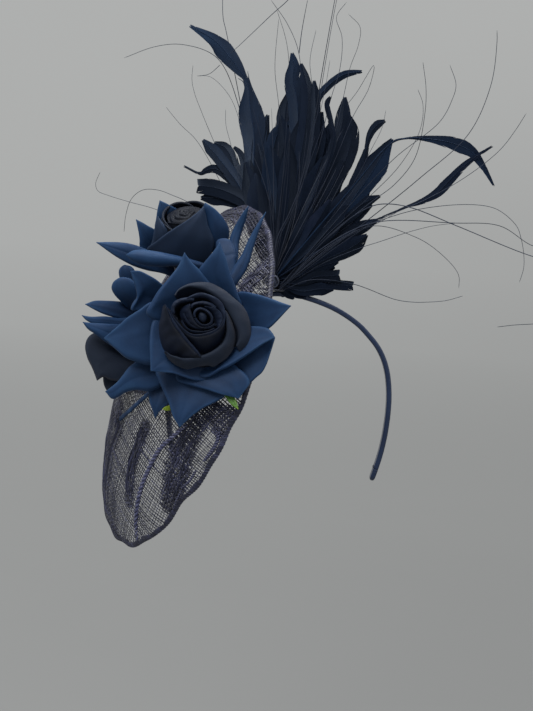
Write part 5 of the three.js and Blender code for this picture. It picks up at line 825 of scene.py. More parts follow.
def feather(name, key, mat, nodes=(), seed=1, pitch=0.42, dih=(0.30, 0.18), slot="feather", sweep=1.0, shaft=0.55, tone0=0.36, painted_half_shade=0.0, wide=1.0, tip=0.0, blunt=0.0):
    rng = np.random.default_rng(seed)
    idx, rows = FEATHERS[key]
    Q = catmull(np.array(rows, float), 400)
    x, z, hw = Q[:, 0], Q[:, 1], Q[:, 2] * wide
    L = np.r_[0, np.cumsum(np.hypot(np.diff(x), np.diff(z)))]
    r = np.hypot(x - RX, z - RZ)
    t = L / L[-1]
    y = RY + idx * GR(r) + 1.2 * np.sin(t * 5.0 + seed) * t
    C = np.stack([x, y, z], 1)
    T = np.gradient(C, axis=0); T /= np.linalg.norm(T, axis=1)[:, None]
    Y = np.array([0.0, 1, 0])
    S = np.cross(T, Y); S /= np.linalg.norm(S, axis=1)[:, None]
    Bk = np.cross(S, T)                       # away from the front, roughly +Y or -Y
    Bk *= np.sign(Bk[:, 1:2] + 1e-9)
    bag = Bag()
    def at(s, A):
        return np.stack([np.interp(s, L, A[:, j]) for j in range(3)], -1)
    tw = 0.35 * np.sin(t * 3.1 + seed * 1.7)
    for side in (-1, 1):
        s0 = np.arange(0.04 * L[-1], L[-1] * 0.992, pitch)
        K = len(s0)
        # clumps of barbs that hold together, with small splits between them
        cuts = np.cumsum(rng.uniform(7.0, 22.0, size=int(L[-1] / 7.0) + 5))
        g = np.searchsorted(cuts, s0)
        gc = np.concatenate([[0], cuts])[g] + 2.0
        glen = rng.normal(1.0, 0.030, size=g.max() + 2)[g]
        gtone = rng.normal(0, 0.035, size=g.max() + 2)[g]
        gdep = rng.normal(0, 0.06, size=g.max() + 2)[g]
        ln = np.clip(glen * rng.normal(1.0, 0.010, size=K), 0.7, 1.15)
        tau = np.array([0, 0.22, 0.45, 0.7, 0.88, 1.0])
        w_here = np.interp(s0, L, hw)
        pull = (gc - s0) * 0.12
        adv = sweep * (1.5 * w_here[:, None] * tau[None] + 1.3 * w_here[:, None] * tau[None] ** 2) + pull[:, None] * tau[None] ** 2
        ss = np.minimum(s0[:, None] + adv, L[-1] + 0.0 * adv)
        over = s0[:, None] + adv - ss
        w_end = np.interp(np.minimum(s0 + sweep * 1.6 * w_here, L[-1]), L, hw)
        wid = 0.4 * w_here + 0.6 * w_end
        lim = (np.interp(ss, L, hw) * 1.03 + 0.12) * (0.35 + 0.65 * ln[:, None])   # the outline narrows to a point
        lat = side * np.minimum((wid * ln)[:, None] * tau[None] ** 0.92, lim)
        ctr = at(ss, C); s_ = at(ss, S); b_ = at(ss, Bk); t_ = at(ss, T)
        d = dih[0 if side < 0 else 1]
        twl = np.interp(ss, L, tw)
        dep = np.abs(lat) * (d + side * twl) + gdep[:, None] * tau[None] ** 2 + 0.5 * (np.abs(lat) / 6.0) ** 2
        P = ctr + s_ * lat[..., None] + b_ * dep[..., None] + t_ * over[..., None] * 0.06
        wb = pitch * np.array([1.2, 1.25, 1.25, 1.2, 1.0, 0.30])[None, :, None]
        dirn = np.gradient(P, axis=1)
        wd = np.cross(dirn, b_); wd /= (np.linalg.norm(wd, axis=-1)[..., None] + 1e-9)
        R = np.stack([P - wd * wb * 0.5, P + wd * wb * 0.5], 2)
        # tone: the barbs' own tone, plus painted light and shade (the side term paints one half of the blade paler and
        # the other darker) and a painted highlight towards the barb ends (the tau term)
        tone = tone0 + gtone[:, None] + rng.normal(0, 0.028, size=(K, 1)) + 0.10 * tau[None] ** 2 + side * painted_half_shade + tip * np.clip((s0[:, None] / L[-1] - 0.62) / 0.3, 0, 1) ** 1.5
        ribbons(bag, R, np.clip(tone, 0, 1))
    vane = bag
    k = 90
    ss = np.linspace(0, L[-1], k)
    rad = np.interp(ss / L[-1], [0, 0.15, 1], [0.62, 0.46, 0.10])
    Cs = at(ss, C) - at(ss, Bk) * 0.22
    tube(vane, Cs, rad, 6, tone=shaft)
    return vane.done(name, mat, nodes=nodes, slot=slot)

CAD_OF = {"F1": "feather_crest_tall", "L1": "feather_left_upper", "L4": "feather_left_curved", "L5a": "feather_left_square",
          "C1": "feather_centre_front", "C2": "feather_centre_rear", "C3": "feather_centre_narrow", "C5": "feather_centre_crescent",
          "C7": "feather_centre_right", "C8": "feather_centre_right_outer", "R1": "feather_right_slender", "R2": "feather_right_broad",
          "R4": "feather_right_low", "R5": "feather_right_low_front", "R6": "feather_right_short", "R7": "feather_right_short_front",
          "M2": "feather_middle_front", "A14": "feather_arrow_upper", "A15": "feather_arrow_lower"}
TONES = {"F1": 0.16, "F1b": 0.14, "L1": 0.05, "L2": 0.08, "L3": 0.04, "L4": 0.06, "L5a": 0.03, "L5b": 0.05, "C2": 0.12, "C1": 0.14, "C3": 0.20, "C4": 0.10, "C5": 0.16,
         "C7": 0.12, "C8": 0.06, "C9": 0.30, "C10": 0.08, "R1": 0.14, "R2": 0.19, "R4": 0.34, "R5": 0.22, "R6": 0.03, "R7": 0.06, "M2": 0.46, "M4": 0.12, "A14": 0.16, "A15": 0.36}
WIDE = {"F1": 1.24, "A14": 1.0, "A15": 1.0, "L5a": 1.75, "L5b": 1.75, "L1": 1.5, "L2": 1.5, "R2": 1.12, "R6": 1.3, "R7": 1.3}
PAINTED_HALF_SHADE = {"F1": 0.06, "R2": -0.20, "R4": 0.12, "M2": 0.10, "C9": -0.14, "A14": -0.05, "R5": 0.12, "C3": 0.14}
for i, key in enumerate(FEATHERS):
    node = (CAD_OF[key],) if key in CAD_OF else ()
    nm = (CAD_OF[key] + "_vane") if key in CAD_OF else ("feather_filler_%02d" % i)
    blue = key in ("F1", "A14", "C5", "R2", "C1", "C10", "L1")
    mx = max(q[2] for q in FEATHERS[key][1])
    feather(nm, key, FEATHER_BLUE if blue else FEATHER, node, seed=100 + i, slot="feather_blue" if key == "F1" else "feather", tone0=TONES.get(key, 0.04 + 0.22 * ((i * 37) % 11) / 10.0),
            dih=(0.20 + 0.05 * (i % 4), 0.12 + 0.05 * ((i * 3) % 4)), painted_half_shade=PAINTED_HALF_SHADE.get(key, 0.05 if i % 2 else -0.05), wide=WIDE.get(key, 1.40 if mx < 4.0 else 1.18), sweep=1.15,
            tip={"F1": 0.42, "A14": 0.12, "A15": 0.15, "C1": 0.12}.get(key, 0.0))
# plain lance-shaped blades that fill the heart of the spray, each with one half painted paler and the other darker
# (painted light and shade)
REACH_A = [-8, 0, 15, 25, 30, 40, 45, 52, 60, 65, 78, 90, 100, 112]
REACH_R = [38, 44, 40, 40, 49, 66, 84, 95, 87, 100, 109, 117, 91, 80]
rngb = np.random.default_rng(77)
HEART = [(6, .95, .04), (14, .98, .10), (22, .95, .05), (29, .98, .30), (34, .90, .12), (38, .97, .06), (43, .95, .40), (47, .86, .10), (50, .97, .05), (54, .92, .22), (57, .80, .48), (61, .96, .06),
         (64, .88, .30), (67, .70, .42), (70, .97, .10), (73, .82, .20), (77, .95, .05), (80, .72, .36), (84, .96, .12), (87, .80, .05), (91, .95, .16), (95, .85, .08), (99, .97, .04), (103, .80, .14), (108, .95, .03)]
for j, (deg, f_, tn_) in enumerate(HEART):
    ang = math.radians(deg + rngb.normal(0, 1.2)); ln = f_ * float(np.interp(deg, REACH_A, REACH_R))
    idx = rngb.uniform(-1.5, 6.5) if deg > 60 else rngb.uniform(-4.5, 4.0)
    bend = rngb.normal(0, 0.16) + (0.26 if deg < 60 else (0.04 if deg < 92 else 0.24))
    wmax = min(8.2, 0.082 * ln + 1.3) * rngb.uniform(0.85, 1.15)
    rows = []
    for k, (f, w) in enumerate([(0.05, 0.14), (0.22, 0.42), (0.42, 0.78), (0.60, 1.0), (0.76, 0.86), (0.89, 0.46), (1.0, 0.05)]):
        a = ang + bend * (f - 1.0); rows.append([RX + 3 * math.cos(ang) + ln * f * math.cos(a), RZ + 2 + ln * f * math.sin(a), max(0.5, w * wmax)])
    FEATHERS["heart_%02d" % j] = (idx, rows)
    feather("feather_heart_%02d_vane" % j, "heart_%02d" % j, FEATHER_BLUE if j % 5 == 1 else FEATHER, (), seed=500 + j, tone0=1.2 * tn_ + 0.01, dih=(0.24, 0.14), painted_half_shade=(0.12 if j % 2 else -0.12), sweep=1.2, pitch=0.55)
# short broad blades close over the binding
for j, (deg, ln, idx) in enumerate([(-60, 13, -6.5), (-45, 18, -7.5), (-31, 24, -7.0), (-24, 17, -3.0), (-15, 29, -3.6), (-9, 40, 1.0), (-2, 38, -2.0), (7, 36, 2.5), (16, 40, -3.0), (26, 44, 0.5), (36, 52, -4.0), (48, 56, -2.0), (60, 58, 1.5), (74, 56, 3.0), (88, 58, 4.0), (102, 56, 5.0)]):
    ang = math.radians(deg); rows = []
    for f, w in [(0.04, 2.2), (0.2, 4.0), (0.45, 5.2), (0.7, 4.6), (0.88, 2.6), (1.0, 0.5)]:
        a = ang + 0.12 * (f - 0.3); rows.append([RX + 2 * math.cos(ang) + ln * f * math.cos(a), RZ + 1 + ln * f * math.sin(a), w * (0.56 if deg < -10 else 1.0)])
    FEATHERS["root_%02d" % j] = (idx, rows)
    feather("feather_root_%02d_vane" % j, "root_%02d" % j, FEATHER, (), seed=700 + j, tone0=0.03 + 0.05 * (j % 3), dih=(0.2, 0.14), painted_half_shade=0.03, sweep=1.1, pitch=0.6)

# fine stripped quills
QN = {0: "quill_left_loop", 1: "quill_top_left", 7: "quill_top_double", 15: "quill_right_top", 17: "quill_right_long", 18: "quill_right_long_rear", 21: "quill_right_lowest"}
others = Bag()
for i, (rad, pts) in enumerate(WISPS):
    n = max(24, 14 * len(pts))
    C = catmull(np.array(pts, float), n)
    rr = np.linspace(rad * 1.05, rad * 0.55, n)
    tn = 0.35 + 0.2 * np.sin(np.linspace(0, 7, n) + i)
    if i in QN:
        b = Bag(); tube(b, C, rr, 6, tone=tn)
        b.done(QN[i] + "_shaft", QUILL, nodes=(QN[i],), slot="quill")
    else:
        tube(others, C, rr, 5, tone=tn)
# pale shafts that show over the mass of vanes
rngh = np.random.default_rng(5)
for j in range(24):
    deg = rngh.uniform(26, 98); ang = math.radians(deg); ln = 1.08 * float(np.interp(deg, REACH_A, REACH_R)) * rngh.uniform(0.7, 1.0)
    idx = -rngh.uniform(4.5, 9.0) if deg < 70 else -rngh.uniform(1.5, 4.5)
    bend = rngh.normal(0, 0.12) + 0.08
    tt = np.linspace(0.08, 1, 34)
    a = ang + bend * (tt - 0.4)
    rr = ln * tt
    x = RX + rr * np.cos(a); z = RZ + rr * np.sin(a)
    y = RY + idx * GR(rr)
    tube(others, np.stack([x, y, z], 1), np.linspace(0.30, 0.10, 34), 5, tone=rngh.uniform(0.15, 0.75))
others.done("quills_fine", QUILL, slot="quill")

# ------------------------------------------------------------------ roses
class Place:
    def __init__(self, base, axis):
        self.b = np.array(base, float); Z = np.array(axis, float); Z /= np.linalg.norm(Z)
        X = np.array([1.0, 0, 0]); X = X - Z * (X @ Z); X /= np.linalg.norm(X)
        self.X, self.Y, self.Z = X, np.cross(Z, X), Z
    def __call__(self, x, y, z):
        x, y, z = np.broadcast_arrays(x, y, z)
        return self.b + x[..., None] * self.X + y[..., None] * self.Y + z[..., None] * self.Z

def unit(a): return a / np.linalg.norm(a)

def pointed(bag, B, T, Nrm, W, b1=3.0, b2=4.0, cup=60.0, roll=1.8, p=0.85, wavy=0.0, seed=0, knee=0.45, turn=3.4, hook=0.0, tone=0.0):
    """A petal drawn to a point, its two side edges rolled back on themselves."""
    rng = np.random.default_rng(seed)
    B = np.asarray(B, float); T = np.asarray(T, float); Nrm = unit(np.asarray(Nrm, float))
    D = T - B; Ln = np.linalg.norm(D)
    P1 = B + 0.33 * D + Nrm * b1; P2 = B + 0.74 * D + Nrm * b2
    nt, ns = 44, 45
    t = np.linspace(0, 1, nt)[:, None]
    c = (1 - t) ** 3 * B + 3 * t * (1 - t) ** 2 * P1 + 3 * t * t * (1 - t) * P2 + t ** 3 * T
    tan = np.gradient(c, axis=0); tan /= np.linalg.norm(tan, axis=1)[:, None]
    S = np.cross(tan, Nrm); S /= np.linalg.norm(S, axis=1)[:, None]
    Nl = np.cross(S, tan)
    tt = t[:, 0]
    prof = np.where(tt < knee, 0.34 + 0.66 * np.sin(np.pi / 2 * np.clip(tt / knee, 0, 1)), np.clip((1 - tt) / (1 - knee), 0, 1) ** p)
    Wn, Wp = W if isinstance(W, tuple) else (W, W)
    u = np.linspace(-1, 1, ns)
    P = np.zeros((nt, ns, 3)); shade = np.zeros((nt, ns))
    ph = rng.uniform(0, 6.28, 4)
    for sgn, Wd in ((-1, Wn), (1, Wp)):
        m = (u < 0) if sgn < 0 else (u >= 0)
        uu = np.abs(u[m])[None, :]
        h = np.maximum(Wd * prof, 0.30)[:, None]
        r = np.minimum(roll * (0.55 + 0.45 * np.sin(np.pi * np.clip(tt * 1.05, 0, 1)))[:, None], 0.8 * h)
        flat = h - r
        arc = r * turn
        s = uu * (flat + arc)
        inflat = s <= flat
        ang = np.clip((s - flat) / r, 0, turn)
        lat = np.where(inflat, s, flat + r * np.sin(ang))
        dep = np.where(inflat, 0.0, -r * (1 - np.cos(ang)))
        dep = dep - (np.minimum(lat, h) ** 2) / (2 * cup)
        e = np.clip(uu, 0, 1) ** 2
        wv = wavy * (np.sin(tt[:, None] * 9.0 + ph[0] + sgn) * e + 0.5 * np.sin(tt[:, None] * 17.0 + ph[1]) * e ** 2) * np.sin(np.pi * np.clip(tt, 0, 1))[:, None]
        soft = 0.35 * np.sin(tt[:, None] * 5.0 + ph[2]) * uu + 0.25 * np.sin(uu * 6.0 + ph[3]) * tt[:, None]
        dep = dep + wv + soft
        # a shallow crease down the middle
        dep = dep - 0.55 * np.exp(-(uu / 0.07) ** 2) * np.clip(1.2 - tt[:, None], 0, 1)
        P[:, m] = c[:, None, :] + S[:, None, :] * (sgn * lat)[..., None] + Nl[:, None, :] * dep[..., None]
        edge = np.exp(-((s - flat) / (0.9 * r + 0.3)) ** 2)
        # shade: painted shade towards the base and a painted highlight on the rolled edges
        shade[:, m] = 0.20 + 0.42 * tt[:, None] + 0.22 * edge + 0.05 * np.sin(uu * 9 + ph[1])
    if hook:
        k = np.clip((tt - 0.8) / 0.2, 0, 1)[:, None, None] ** 2
        P = P - Nl[:, None, :] * hook * k
    bag.grid(P, shade=np.clip(shade + tone, 0, 1))

def wrap(bag, pl, az, span, R, z0, z1, lip=1.2, lipang=2.4, belly=1.06, drop=3.0, ell=1.0, grow=0.05, base=0.45, seed=0, tilt=0.0, point=0.0, cx=0.0, cy=0.0, inner=0.25, tone=0.0):
    """A cupped petal wrapped part way round the rose's axis, its lip turned outwards."""
    rng = np.random.default_rng(seed)
    nt, nth = 40, 61
    th = np.radians(np.linspace(-span / 2, span / 2, nth)); f = th / th[-1]
    a = np.radians(az) + th
    ph = rng.uniform(0, 6.28, 3)
    top = z1 - drop * np.abs(f) ** 2.4 + tilt * f + point * np.exp(-(f / 0.22) ** 2) + 0.4 * np.sin(4.5 * f + ph[0])
    Rf = R * (1 + grow * f) * (1 + 0.015 * np.sin(5 * f + ph[1]))
    nb = 28
    tb = np.linspace(0, 1, nb)[:, None]
    rb = base * Rf[None] + (Rf[None] * belly - base * Rf[None]) * np.sin(np.pi / 2 * np.clip(tb * 1.25, 0, 1)) - (belly - 1.0) * Rf[None] * np.clip((tb - 0.75) / 0.25, 0, 1) ** 2
    zb = z0 + (top[None] - z0) * tb
    ntl = nt - nb
    le = lip * (1 - 0.75 * np.abs(f) ** 3)[None]
    an = np.linspace(0, lipang, ntl + 1)[1:][:, None]
    rl = rb[-1:] + le * (1 - np.cos(an)); zl = zb[-1:] + le * np.sin(an)
    rho = np.vstack([rb, rl]); z = np.vstack([zb, zl])
    x = cx + rho * np.cos(a)[None] * ell; y = cy + rho * np.sin(a)[None]
    P = pl(x, y, z)
    tt = np.concatenate([np.linspace(0, 0.75, nb), np.linspace(0.78, 1, ntl)])[:, None]
    # shade: painted shade deep in the cup, rising to a painted highlight on the turned-out lip
    shade = inner * (0.3 + 0.7 * tt) + 0.55 * np.clip((tt - 0.70) / 0.12, 0, 1) * (0.75 + 0.25 * np.cos(3 * f + ph[2]))[None] + tone
    bag.grid(P, shade=np.clip(shade, 0, 1) * np.ones_like(rho))

def lathe_bag(bag, pl, prof, seg=40, **attrs):
    th = np.linspace(0, 2 * np.pi, seg, endpoint=False)
    pr = np.array(prof, float)
    x = pr[:, 0:1] * np.cos(th)[None]; y = pr[:, 0:1] * np.sin(th)[None]
    bag.grid(pl(x, y, pr[:, 1:2] * np.ones((1, seg))), closed_u=True, **attrs)

def petals_done(bag, name, mat, nodes, slot, t=0.00032):
    ob = bag.done(name, mat, nodes=nodes, slot=slot); thicken(ob, t); return ob

def hub(pl, z, out, toward):
    """a point on the rose's stem, offset towards the petal's tip"""
    o = pl(np.array(0.0), np.array(0.0), np.array(float(z)))
    d = np.asarray(toward, float) - o; d = d - pl.Z * (d @ pl.Z); d = d / (np.linalg.norm(d) + 1e-9)
    return o + d * out


# a petal spanned between two edges that run from its hub to its tip
def leaf(bag, E0, E1, crown=(0.0, 0.0), roll0=1.0, roll1=1.0, crease=0.2, wav=0.3, tone=0.0, seed=0, face=(0.0, -1.0, 0.12), turn=3.3):
    rng = np.random.default_rng(seed)
    nt, ns = 60, 49
    A_ = catmull(np.array(E0, float), nt); B_ = catmull(np.array(E1, float), nt)
    c = (A_ + B_) / 2; W = B_ - A_; h = np.linalg.norm(W, axis=1) / 2
    S = W / np.maximum(np.linalg.norm(W, axis=1), 1e-6)[:, None]
    good = h > 0.8
    last = np.max(np.nonzero(good)[0])
    S[last + 1:] = S[last]
    tan = np.gradient(c, axis=0); tan /= np.linalg.norm(tan, axis=1)[:, None] + 1e-9
    Nl = np.cross(tan, S); Nl /= np.linalg.norm(Nl, axis=1)[:, None] + 1e-9
    F = np.asarray(face, float); ref = np.sign((Nl[: last + 1] @ F).sum()) or 1.0
    Nl = Nl * ref
    for k in range(2, nt):                                   # keep the normal steady along the petal
        if Nl[k] @ Nl[k - 1] < 0: Nl[k] = -Nl[k]
    for _ in range(3): Nl[1:-1] = (Nl[:-2] + 2 * Nl[1:-1] + Nl[2:]) / 4
    Nl /= np.linalg.norm(Nl, axis=1)[:, None]
    t = np.linspace(0, 1, nt)
    cr = crown[0] + (crown[1] - crown[0]) * t
    hm = h.max()
    u = np.linspace(-1, 1, ns)
    P = np.zeros((nt, ns, 3)); shade = np.zeros((nt, ns))
    ph = rng.uniform(0, 6.28, 5)
    env = np.sin(np.pi * np.clip(t * 0.86 + 0.10, 0, 1)) ** 0.7 * np.clip((t - 0.10) / 0.25, 0.15, 1)
    hh = np.maximum(h, 0.12)[:, None]
    for sgn, rl in ((-1, roll0), (1, roll1)):
        m = (u < 0) if sgn < 0 else (u >= 0)
        uu = np.abs(u[m])[None, :]
        r = np.minimum((rl * env)[:, None], 0.72 * hh) + 1e-4
        flat = hh - r; arc = r * turn
        s = uu * (flat + arc)
        ang = np.clip((s - flat) / r, 0, turn)
        rr = r * (1 - 0.18 * ang / turn)                      # the roll tightens inwards
        lat = np.where(s <= flat, s, flat + rr * np.sin(ang))
        dep = np.where(s <= flat, 0.0, -rr * (1 - np.cos(ang)))
        q = np.clip(lat / hh, 0, 1)
        dep = dep + (cr[:, None] * (hh / hm) ** 0.8) * (1 - q ** 2)
        e = np.clip(uu, 0, 1) ** 2
        dep = dep + wav * (np.sin(t[:, None] * 8.0 + ph[0] + sgn) * e + 0.5 * np.sin(t[:, None] * 15.0 + ph[1]) * e ** 2) * np.sin(np.pi * t)[:, None]
        dep = dep + 0.22 * (np.sin(t[:, None] * 4.2 + ph[2]) * uu + 0.7 * np.sin(uu * 6.0 + t[:, None] * 3 + ph[3])) * np.clip(hh / 6, 0, 1)
        dep = dep - crease * np.exp(-(uu / 0.10) ** 2) * np.clip(1.15 - t[:, None], 0, 1)
        P[:, m] = c[:, None, :] + S[:, None, :] * (sgn * lat)[..., None] + Nl[:, None, :] * dep[..., None]
        # edge and shade: painted shade towards the base and a painted highlight on the rolled edges
        edge = np.exp(-((s - flat * 0.98) / (0.9 * r + 0.35)) ** 2) + 0.8 * (s > flat)
        shade[:, m] = 0.16 + 0.40 * t[:, None] ** 1.2 + 0.24 * np.clip(edge, 0, 1) + 0.05 * np.sin(uu * 9 + ph[1] + 4 * t[:, None])
    bag.grid(P, shade=np.clip(shade + tone, 0, 1))

def rim(bag, I, O, core, axis, lift=1.0, curl=0.8, tone=0.0, z0=-22.0, wall=0.55, n=110, seed=0):
    """A petal standing round the rose's core: wall, fold and turned-out lip."""
    rng = np.random.default_rng(seed)
    I = catmull(np.array(I, float), n); O = catmull(np.array(O, float), n)
    core = np.asarray(core, float); Z = np.asarray(axis, float); Z = Z / np.linalg.norm(Z)
    def radial(Q): 
        d = Q - core; return d - (d @ Z)[:, None] * Z
    RI = radial(I); RO = radial(O)
    nI = RI / (np.linalg.norm(RI, axis=1)[:, None] + 1e-9); nO = RO / (np.linalg.norm(RO, axis=1)[:, None] + 1e-9)
    D = O - I
    wl = np.linalg.norm(D, axis=1)[:, None]
    f = np.linspace(0, 1, n)[:, None]
    ends = np.clip(np.minimum(f, 1 - f) / 0.07, 0, 1) ** 0.6
    rip = 0.16 * np.sin(f * 17 + rng.uniform(0, 6)) + 0.10 * np.sin(f * 41 + rng.uniform(0, 6))
    base = core + RI * wall + Z * z0
    lf = lift * np.minimum(1, wl / 4.0 + 0.25) * ends
    K = [base, core + RI * (wall * 0.5 + 0.5) * 1.0 + Z * ((I - core) @ Z)[:, None] - Z * 10.0, I - Z * 3.0 + nI * 0.15, I - Z * 0.5 * ends,
         I + D * 0.22 + Z * lf * 0.85, I + D * 0.55 + Z * (lf * (1.0 + rip)), I + D * 0.86 + Z * lf * 0.45 * (1 + rip), O + Z * 0.0,
         O - Z * curl * 0.8 - nO * 0.05 * curl, O - Z * curl * 1.5 - nO * 0.7 * curl]
    K = np.array(K)                                            # [k, n, 3]
    ext = np.concatenate([K[:1] * 2 - K[1:2], K, K[-1:] * 2 - K[-2:-1]])
    rows = []; par = []
    for k in range(len(K) - 1):
        p0, p1, p2, p3 = ext[k], ext[k + 1], ext[k + 2], ext[k + 3]
        for s in np.linspace(0, 1, 5, endpoint=False):
            rows.append(0.5 * (2 * p1 + (p2 - p0) * s + (2 * p0 - 5 * p1 + 4 * p2 - p3) * s ** 2 + (3 * p1 - p0 - 3 * p2 + p3) * s ** 3)); par.append(k + s)
    rows.append(K[-1]); par.append(len(K) - 1)
    par = np.array(par)[:, None]
    # sh: painted shade on the wall going down into the rose, a painted highlight rising along the lip to its edge
    sh = np.where(par < 3, 0.05 + 0.10 * par / 3, 0.38 + 0.40 * np.clip((par - 3) / 3.2, 0, 1) + 0.10 * np.clip(par - 6.3, 0, 1))
    sh = sh + 0.05 * np.sin(f[:, 0][None] * 23 + seed) + tone * (par >= 2.6)
    bag.grid(np.array(rows), shade=np.clip(sh * np.ones((len(rows), n)), 0, 1))

def group(bag, g):
    for i, (k, v) in enumerate(LEAVES.items()):
        if v[0] == g: leaf(bag, v[1], v[2], v[3], v[4], v[5], v[6], v[7], v[8], seed=200 + i)
def rims(bag, g, core, axis, **kw):
    for i, (k, v) in enumerate(RIMS.items()):
        if v[0] == g: rim(bag, v[1], v[2], core, axis, v[3], v[4], v[5], seed=300 + i, **kw)

# ---- front rose
A = Place((-52.4, -67.7, -28.6), (0.095, -0.95, 0.245))
FRONT = np.array([0.0, -1.0, 0.12])
AC = A(np.array(0.0), np.array(0.0), np.array(33.0))
SC = np.array([-50.4, -98.0, -14.2])                           # foot of the inner scroll
b = Bag()
# a near-black body inside the rose: painted shade of the deep interior, which also closes the gaps between the inner
# petals
lathe_bag(b, A, [(0.01, 10), (10, 10.5), (17.5, 14), (21.0, 22), (19.5, 27), (14, 29.0), (6, 30), (0.01, 30)], 48, shade=0.0)
def small(bag, c, rx, rz, tilt, y0, y1, tone):
    th_ = np.linspace(0, 2 * np.pi, 28, endpoint=False)
    prof_ = [(1.0, y0), (1.0, y0 * 0.5 + y1 * 0.5), (0.94, y1 + 1.6), (0.78, y1 + 0.7), (0.5, y1 + 0.2), (0.2, y1), (0.02, y1)]
    P_ = []
    for k_, yy_ in prof_:
        x_ = rx * k_ * np.cos(th_); z_ = rz * k_ * np.sin(th_) * (1 + 0.08 * np.cos(3 * th_))
        P_.append(np.stack([c[0] + x_ * math.cos(tilt) - z_ * math.sin(tilt), np.full(28, yy_), c[1] + x_ * math.sin(tilt) + z_ * math.cos(tilt)], 1))
    # the little bud is painted dark at its foot and light on its top: painted shade and highlight
    bag.grid(np.array(P_), closed_u=True, shade=np.array([0.05, 0.1, 0.3, 0.45, 0.55, 0.6, 0.6])[:, None] * np.ones((1, 28)) + tone)
small(b, (-49.9, -12.6), 2.4, 3.3, 0.35, -94.0, -105.9, 0.0)
petals_done(b, "rose_a_bud_core", SILK_DARK, ("rose_a_bud",), "petal_dark")
b = Bag()
rims(b, "ad", SC, A.Z, z0=-8.0, wall=0.75)
petals_done(b, "rose_a_scroll", SILK_INNER, ("rose_a_spiral",), "petal_dark")
b = Bag()
rims(b, "al", SC, A.Z, z0=-10.0, wall=0.75)
petals_done(b, "rose_a_inner_blue", SILK_INNER, ("rose_a_spiral",), "petal_dark")
b = Bag()
rims(b, "ar", AC, A.Z, z0=-18.0, wall=0.6)
petals_done(b, "rose_a_ring", SILK_GREY, ("rose_a_ring_petals",), "petal_grey")
b = Bag(); group(b, "am")
petals_done(b, "rose_a_mid", SILK_BLUE, ("rose_a_mid_petals",), "petal_blue")
b = Bag(); group(b, "ao")
petals_done(b, "rose_a_outer", SILK_BLUE, ("rose_a_outer_petals",), "petal_blue")
def calyx(name, pl, node, s=1.0):
    b = Bag()
    lathe_bag(b, pl, [(0.01, 0.9), (2.2 * s, 0.9), (3.0 * s, 1.5), (3.5 * s, 2.6), (3.3 * s, 4.0), (4.2 * s, 6.0), (2.0, 6.6), (0.01, 6.7)], 28, shade=0.35)
    for k in range(5):
        a = math.radians(72 * k + 20)
        o = pl(np.array(2.5 * math.cos(a)), np.array(2.5 * math.sin(a)), np.array(3.4))
        tp = pl(np.array(15 * s * math.cos(a)), np.array(15 * s * math.sin(a)), np.array(7.5))
        pointed(b, o, tp, pl.Z, 2.4 * s, b1=-0.6, b2=-0.4, cup=8, roll=0.4, p=0.8, seed=40 + k)
    ob = b.done(name, LEAF, nodes=(node,), slot="leaf"); thicken(ob, 0.0003)

calyx("rose_a_calyx_green", A, "rose_a_calyx")
b = Bag()
leaf(b, [(-42, -84, -48), (-37.9, -90, -54.4), (-32.9, -97, -60.7), (-29.0, -99.5, -64.5), (-25.0, -101, -66.6)], [(-37, -84, -46), (-33.1, -90, -52.9), (-29.2, -97, -58.0), (-26.4, -99.5, -62.5), (-25.0, -101, -66.6)], (0.6, 0.3), 0.4, 0.4, 0.5, 0.1, -0.05, seed=51)
leaf(b, [(-62, -78, -66), (-65.8, -80, -68.5), (-67.7, -83, -69.3), (-69.7, -84.5, -69.9), (-71.7, -85.5, -71.4)], [(-61, -78, -70), (-65.6, -80, -71.6), (-67.2, -83, -72.2), (-69.5, -84.5, -72.4), (-71.7, -85.5, -71.4)], (0.4, 0.2), 0.3, 0.3, 0.2, 0.1, 0.6, seed=52)
ob = b.done("rose_a_sepals_green", LEAF, nodes=("rose_a_sepals",), slot="leaf"); thicken(ob, 0.0003)

# ---- upper rose
Bp = Place((-64.8, -15.5, 19), (-0.1, -0.55, 0.83))
b = Bag()
lathe_bag(b, Bp, [(0.01, 6), (8, 8), (13.0, 17), (13.6, 25), (11.0, 32), (5.0, 34.0), (0.01, 34.6)], 48, shade=0.05)
# the closed crown of the bud: tight folds that wind in towards the middle
nr_, nq_ = 84, 150
rho_ = np.linspace(0.02, 1, nr_)[:, None]; q_ = np.linspace(0, 2 * np.pi, nq_, endpoint=False)[None]
turn_ = rho_ * 12.4 / 3.1 + q_ / (2 * np.pi) + 0.20 * np.sin(2 * q_ + 1.0 + 2.5 * rho_) + 0.10 * np.sin(5 * q_ - 3 * rho_)
saw_ = turn_ % 1.0
fold_ = np.where(saw_ < 0.78, (saw_ / 0.78) ** 0.6, np.clip((1 - saw_) / 0.22, 0, 1) ** 0.5)
rad_ = 12.4 * rho_ * (1 + 0.03 * np.sin(3 * q_ + 0.5))
zc_ = 38.6 - 3.6 * rho_ ** 2 + 1.25 * (fold_ - 0.5) * np.clip(rho_ * 4, 0.3, 1) * (0.75 + 0.35 * np.sin(3 * q_ + 4 * rho_)) + 0.9 * np.sin(q_ + 2.2) * rho_
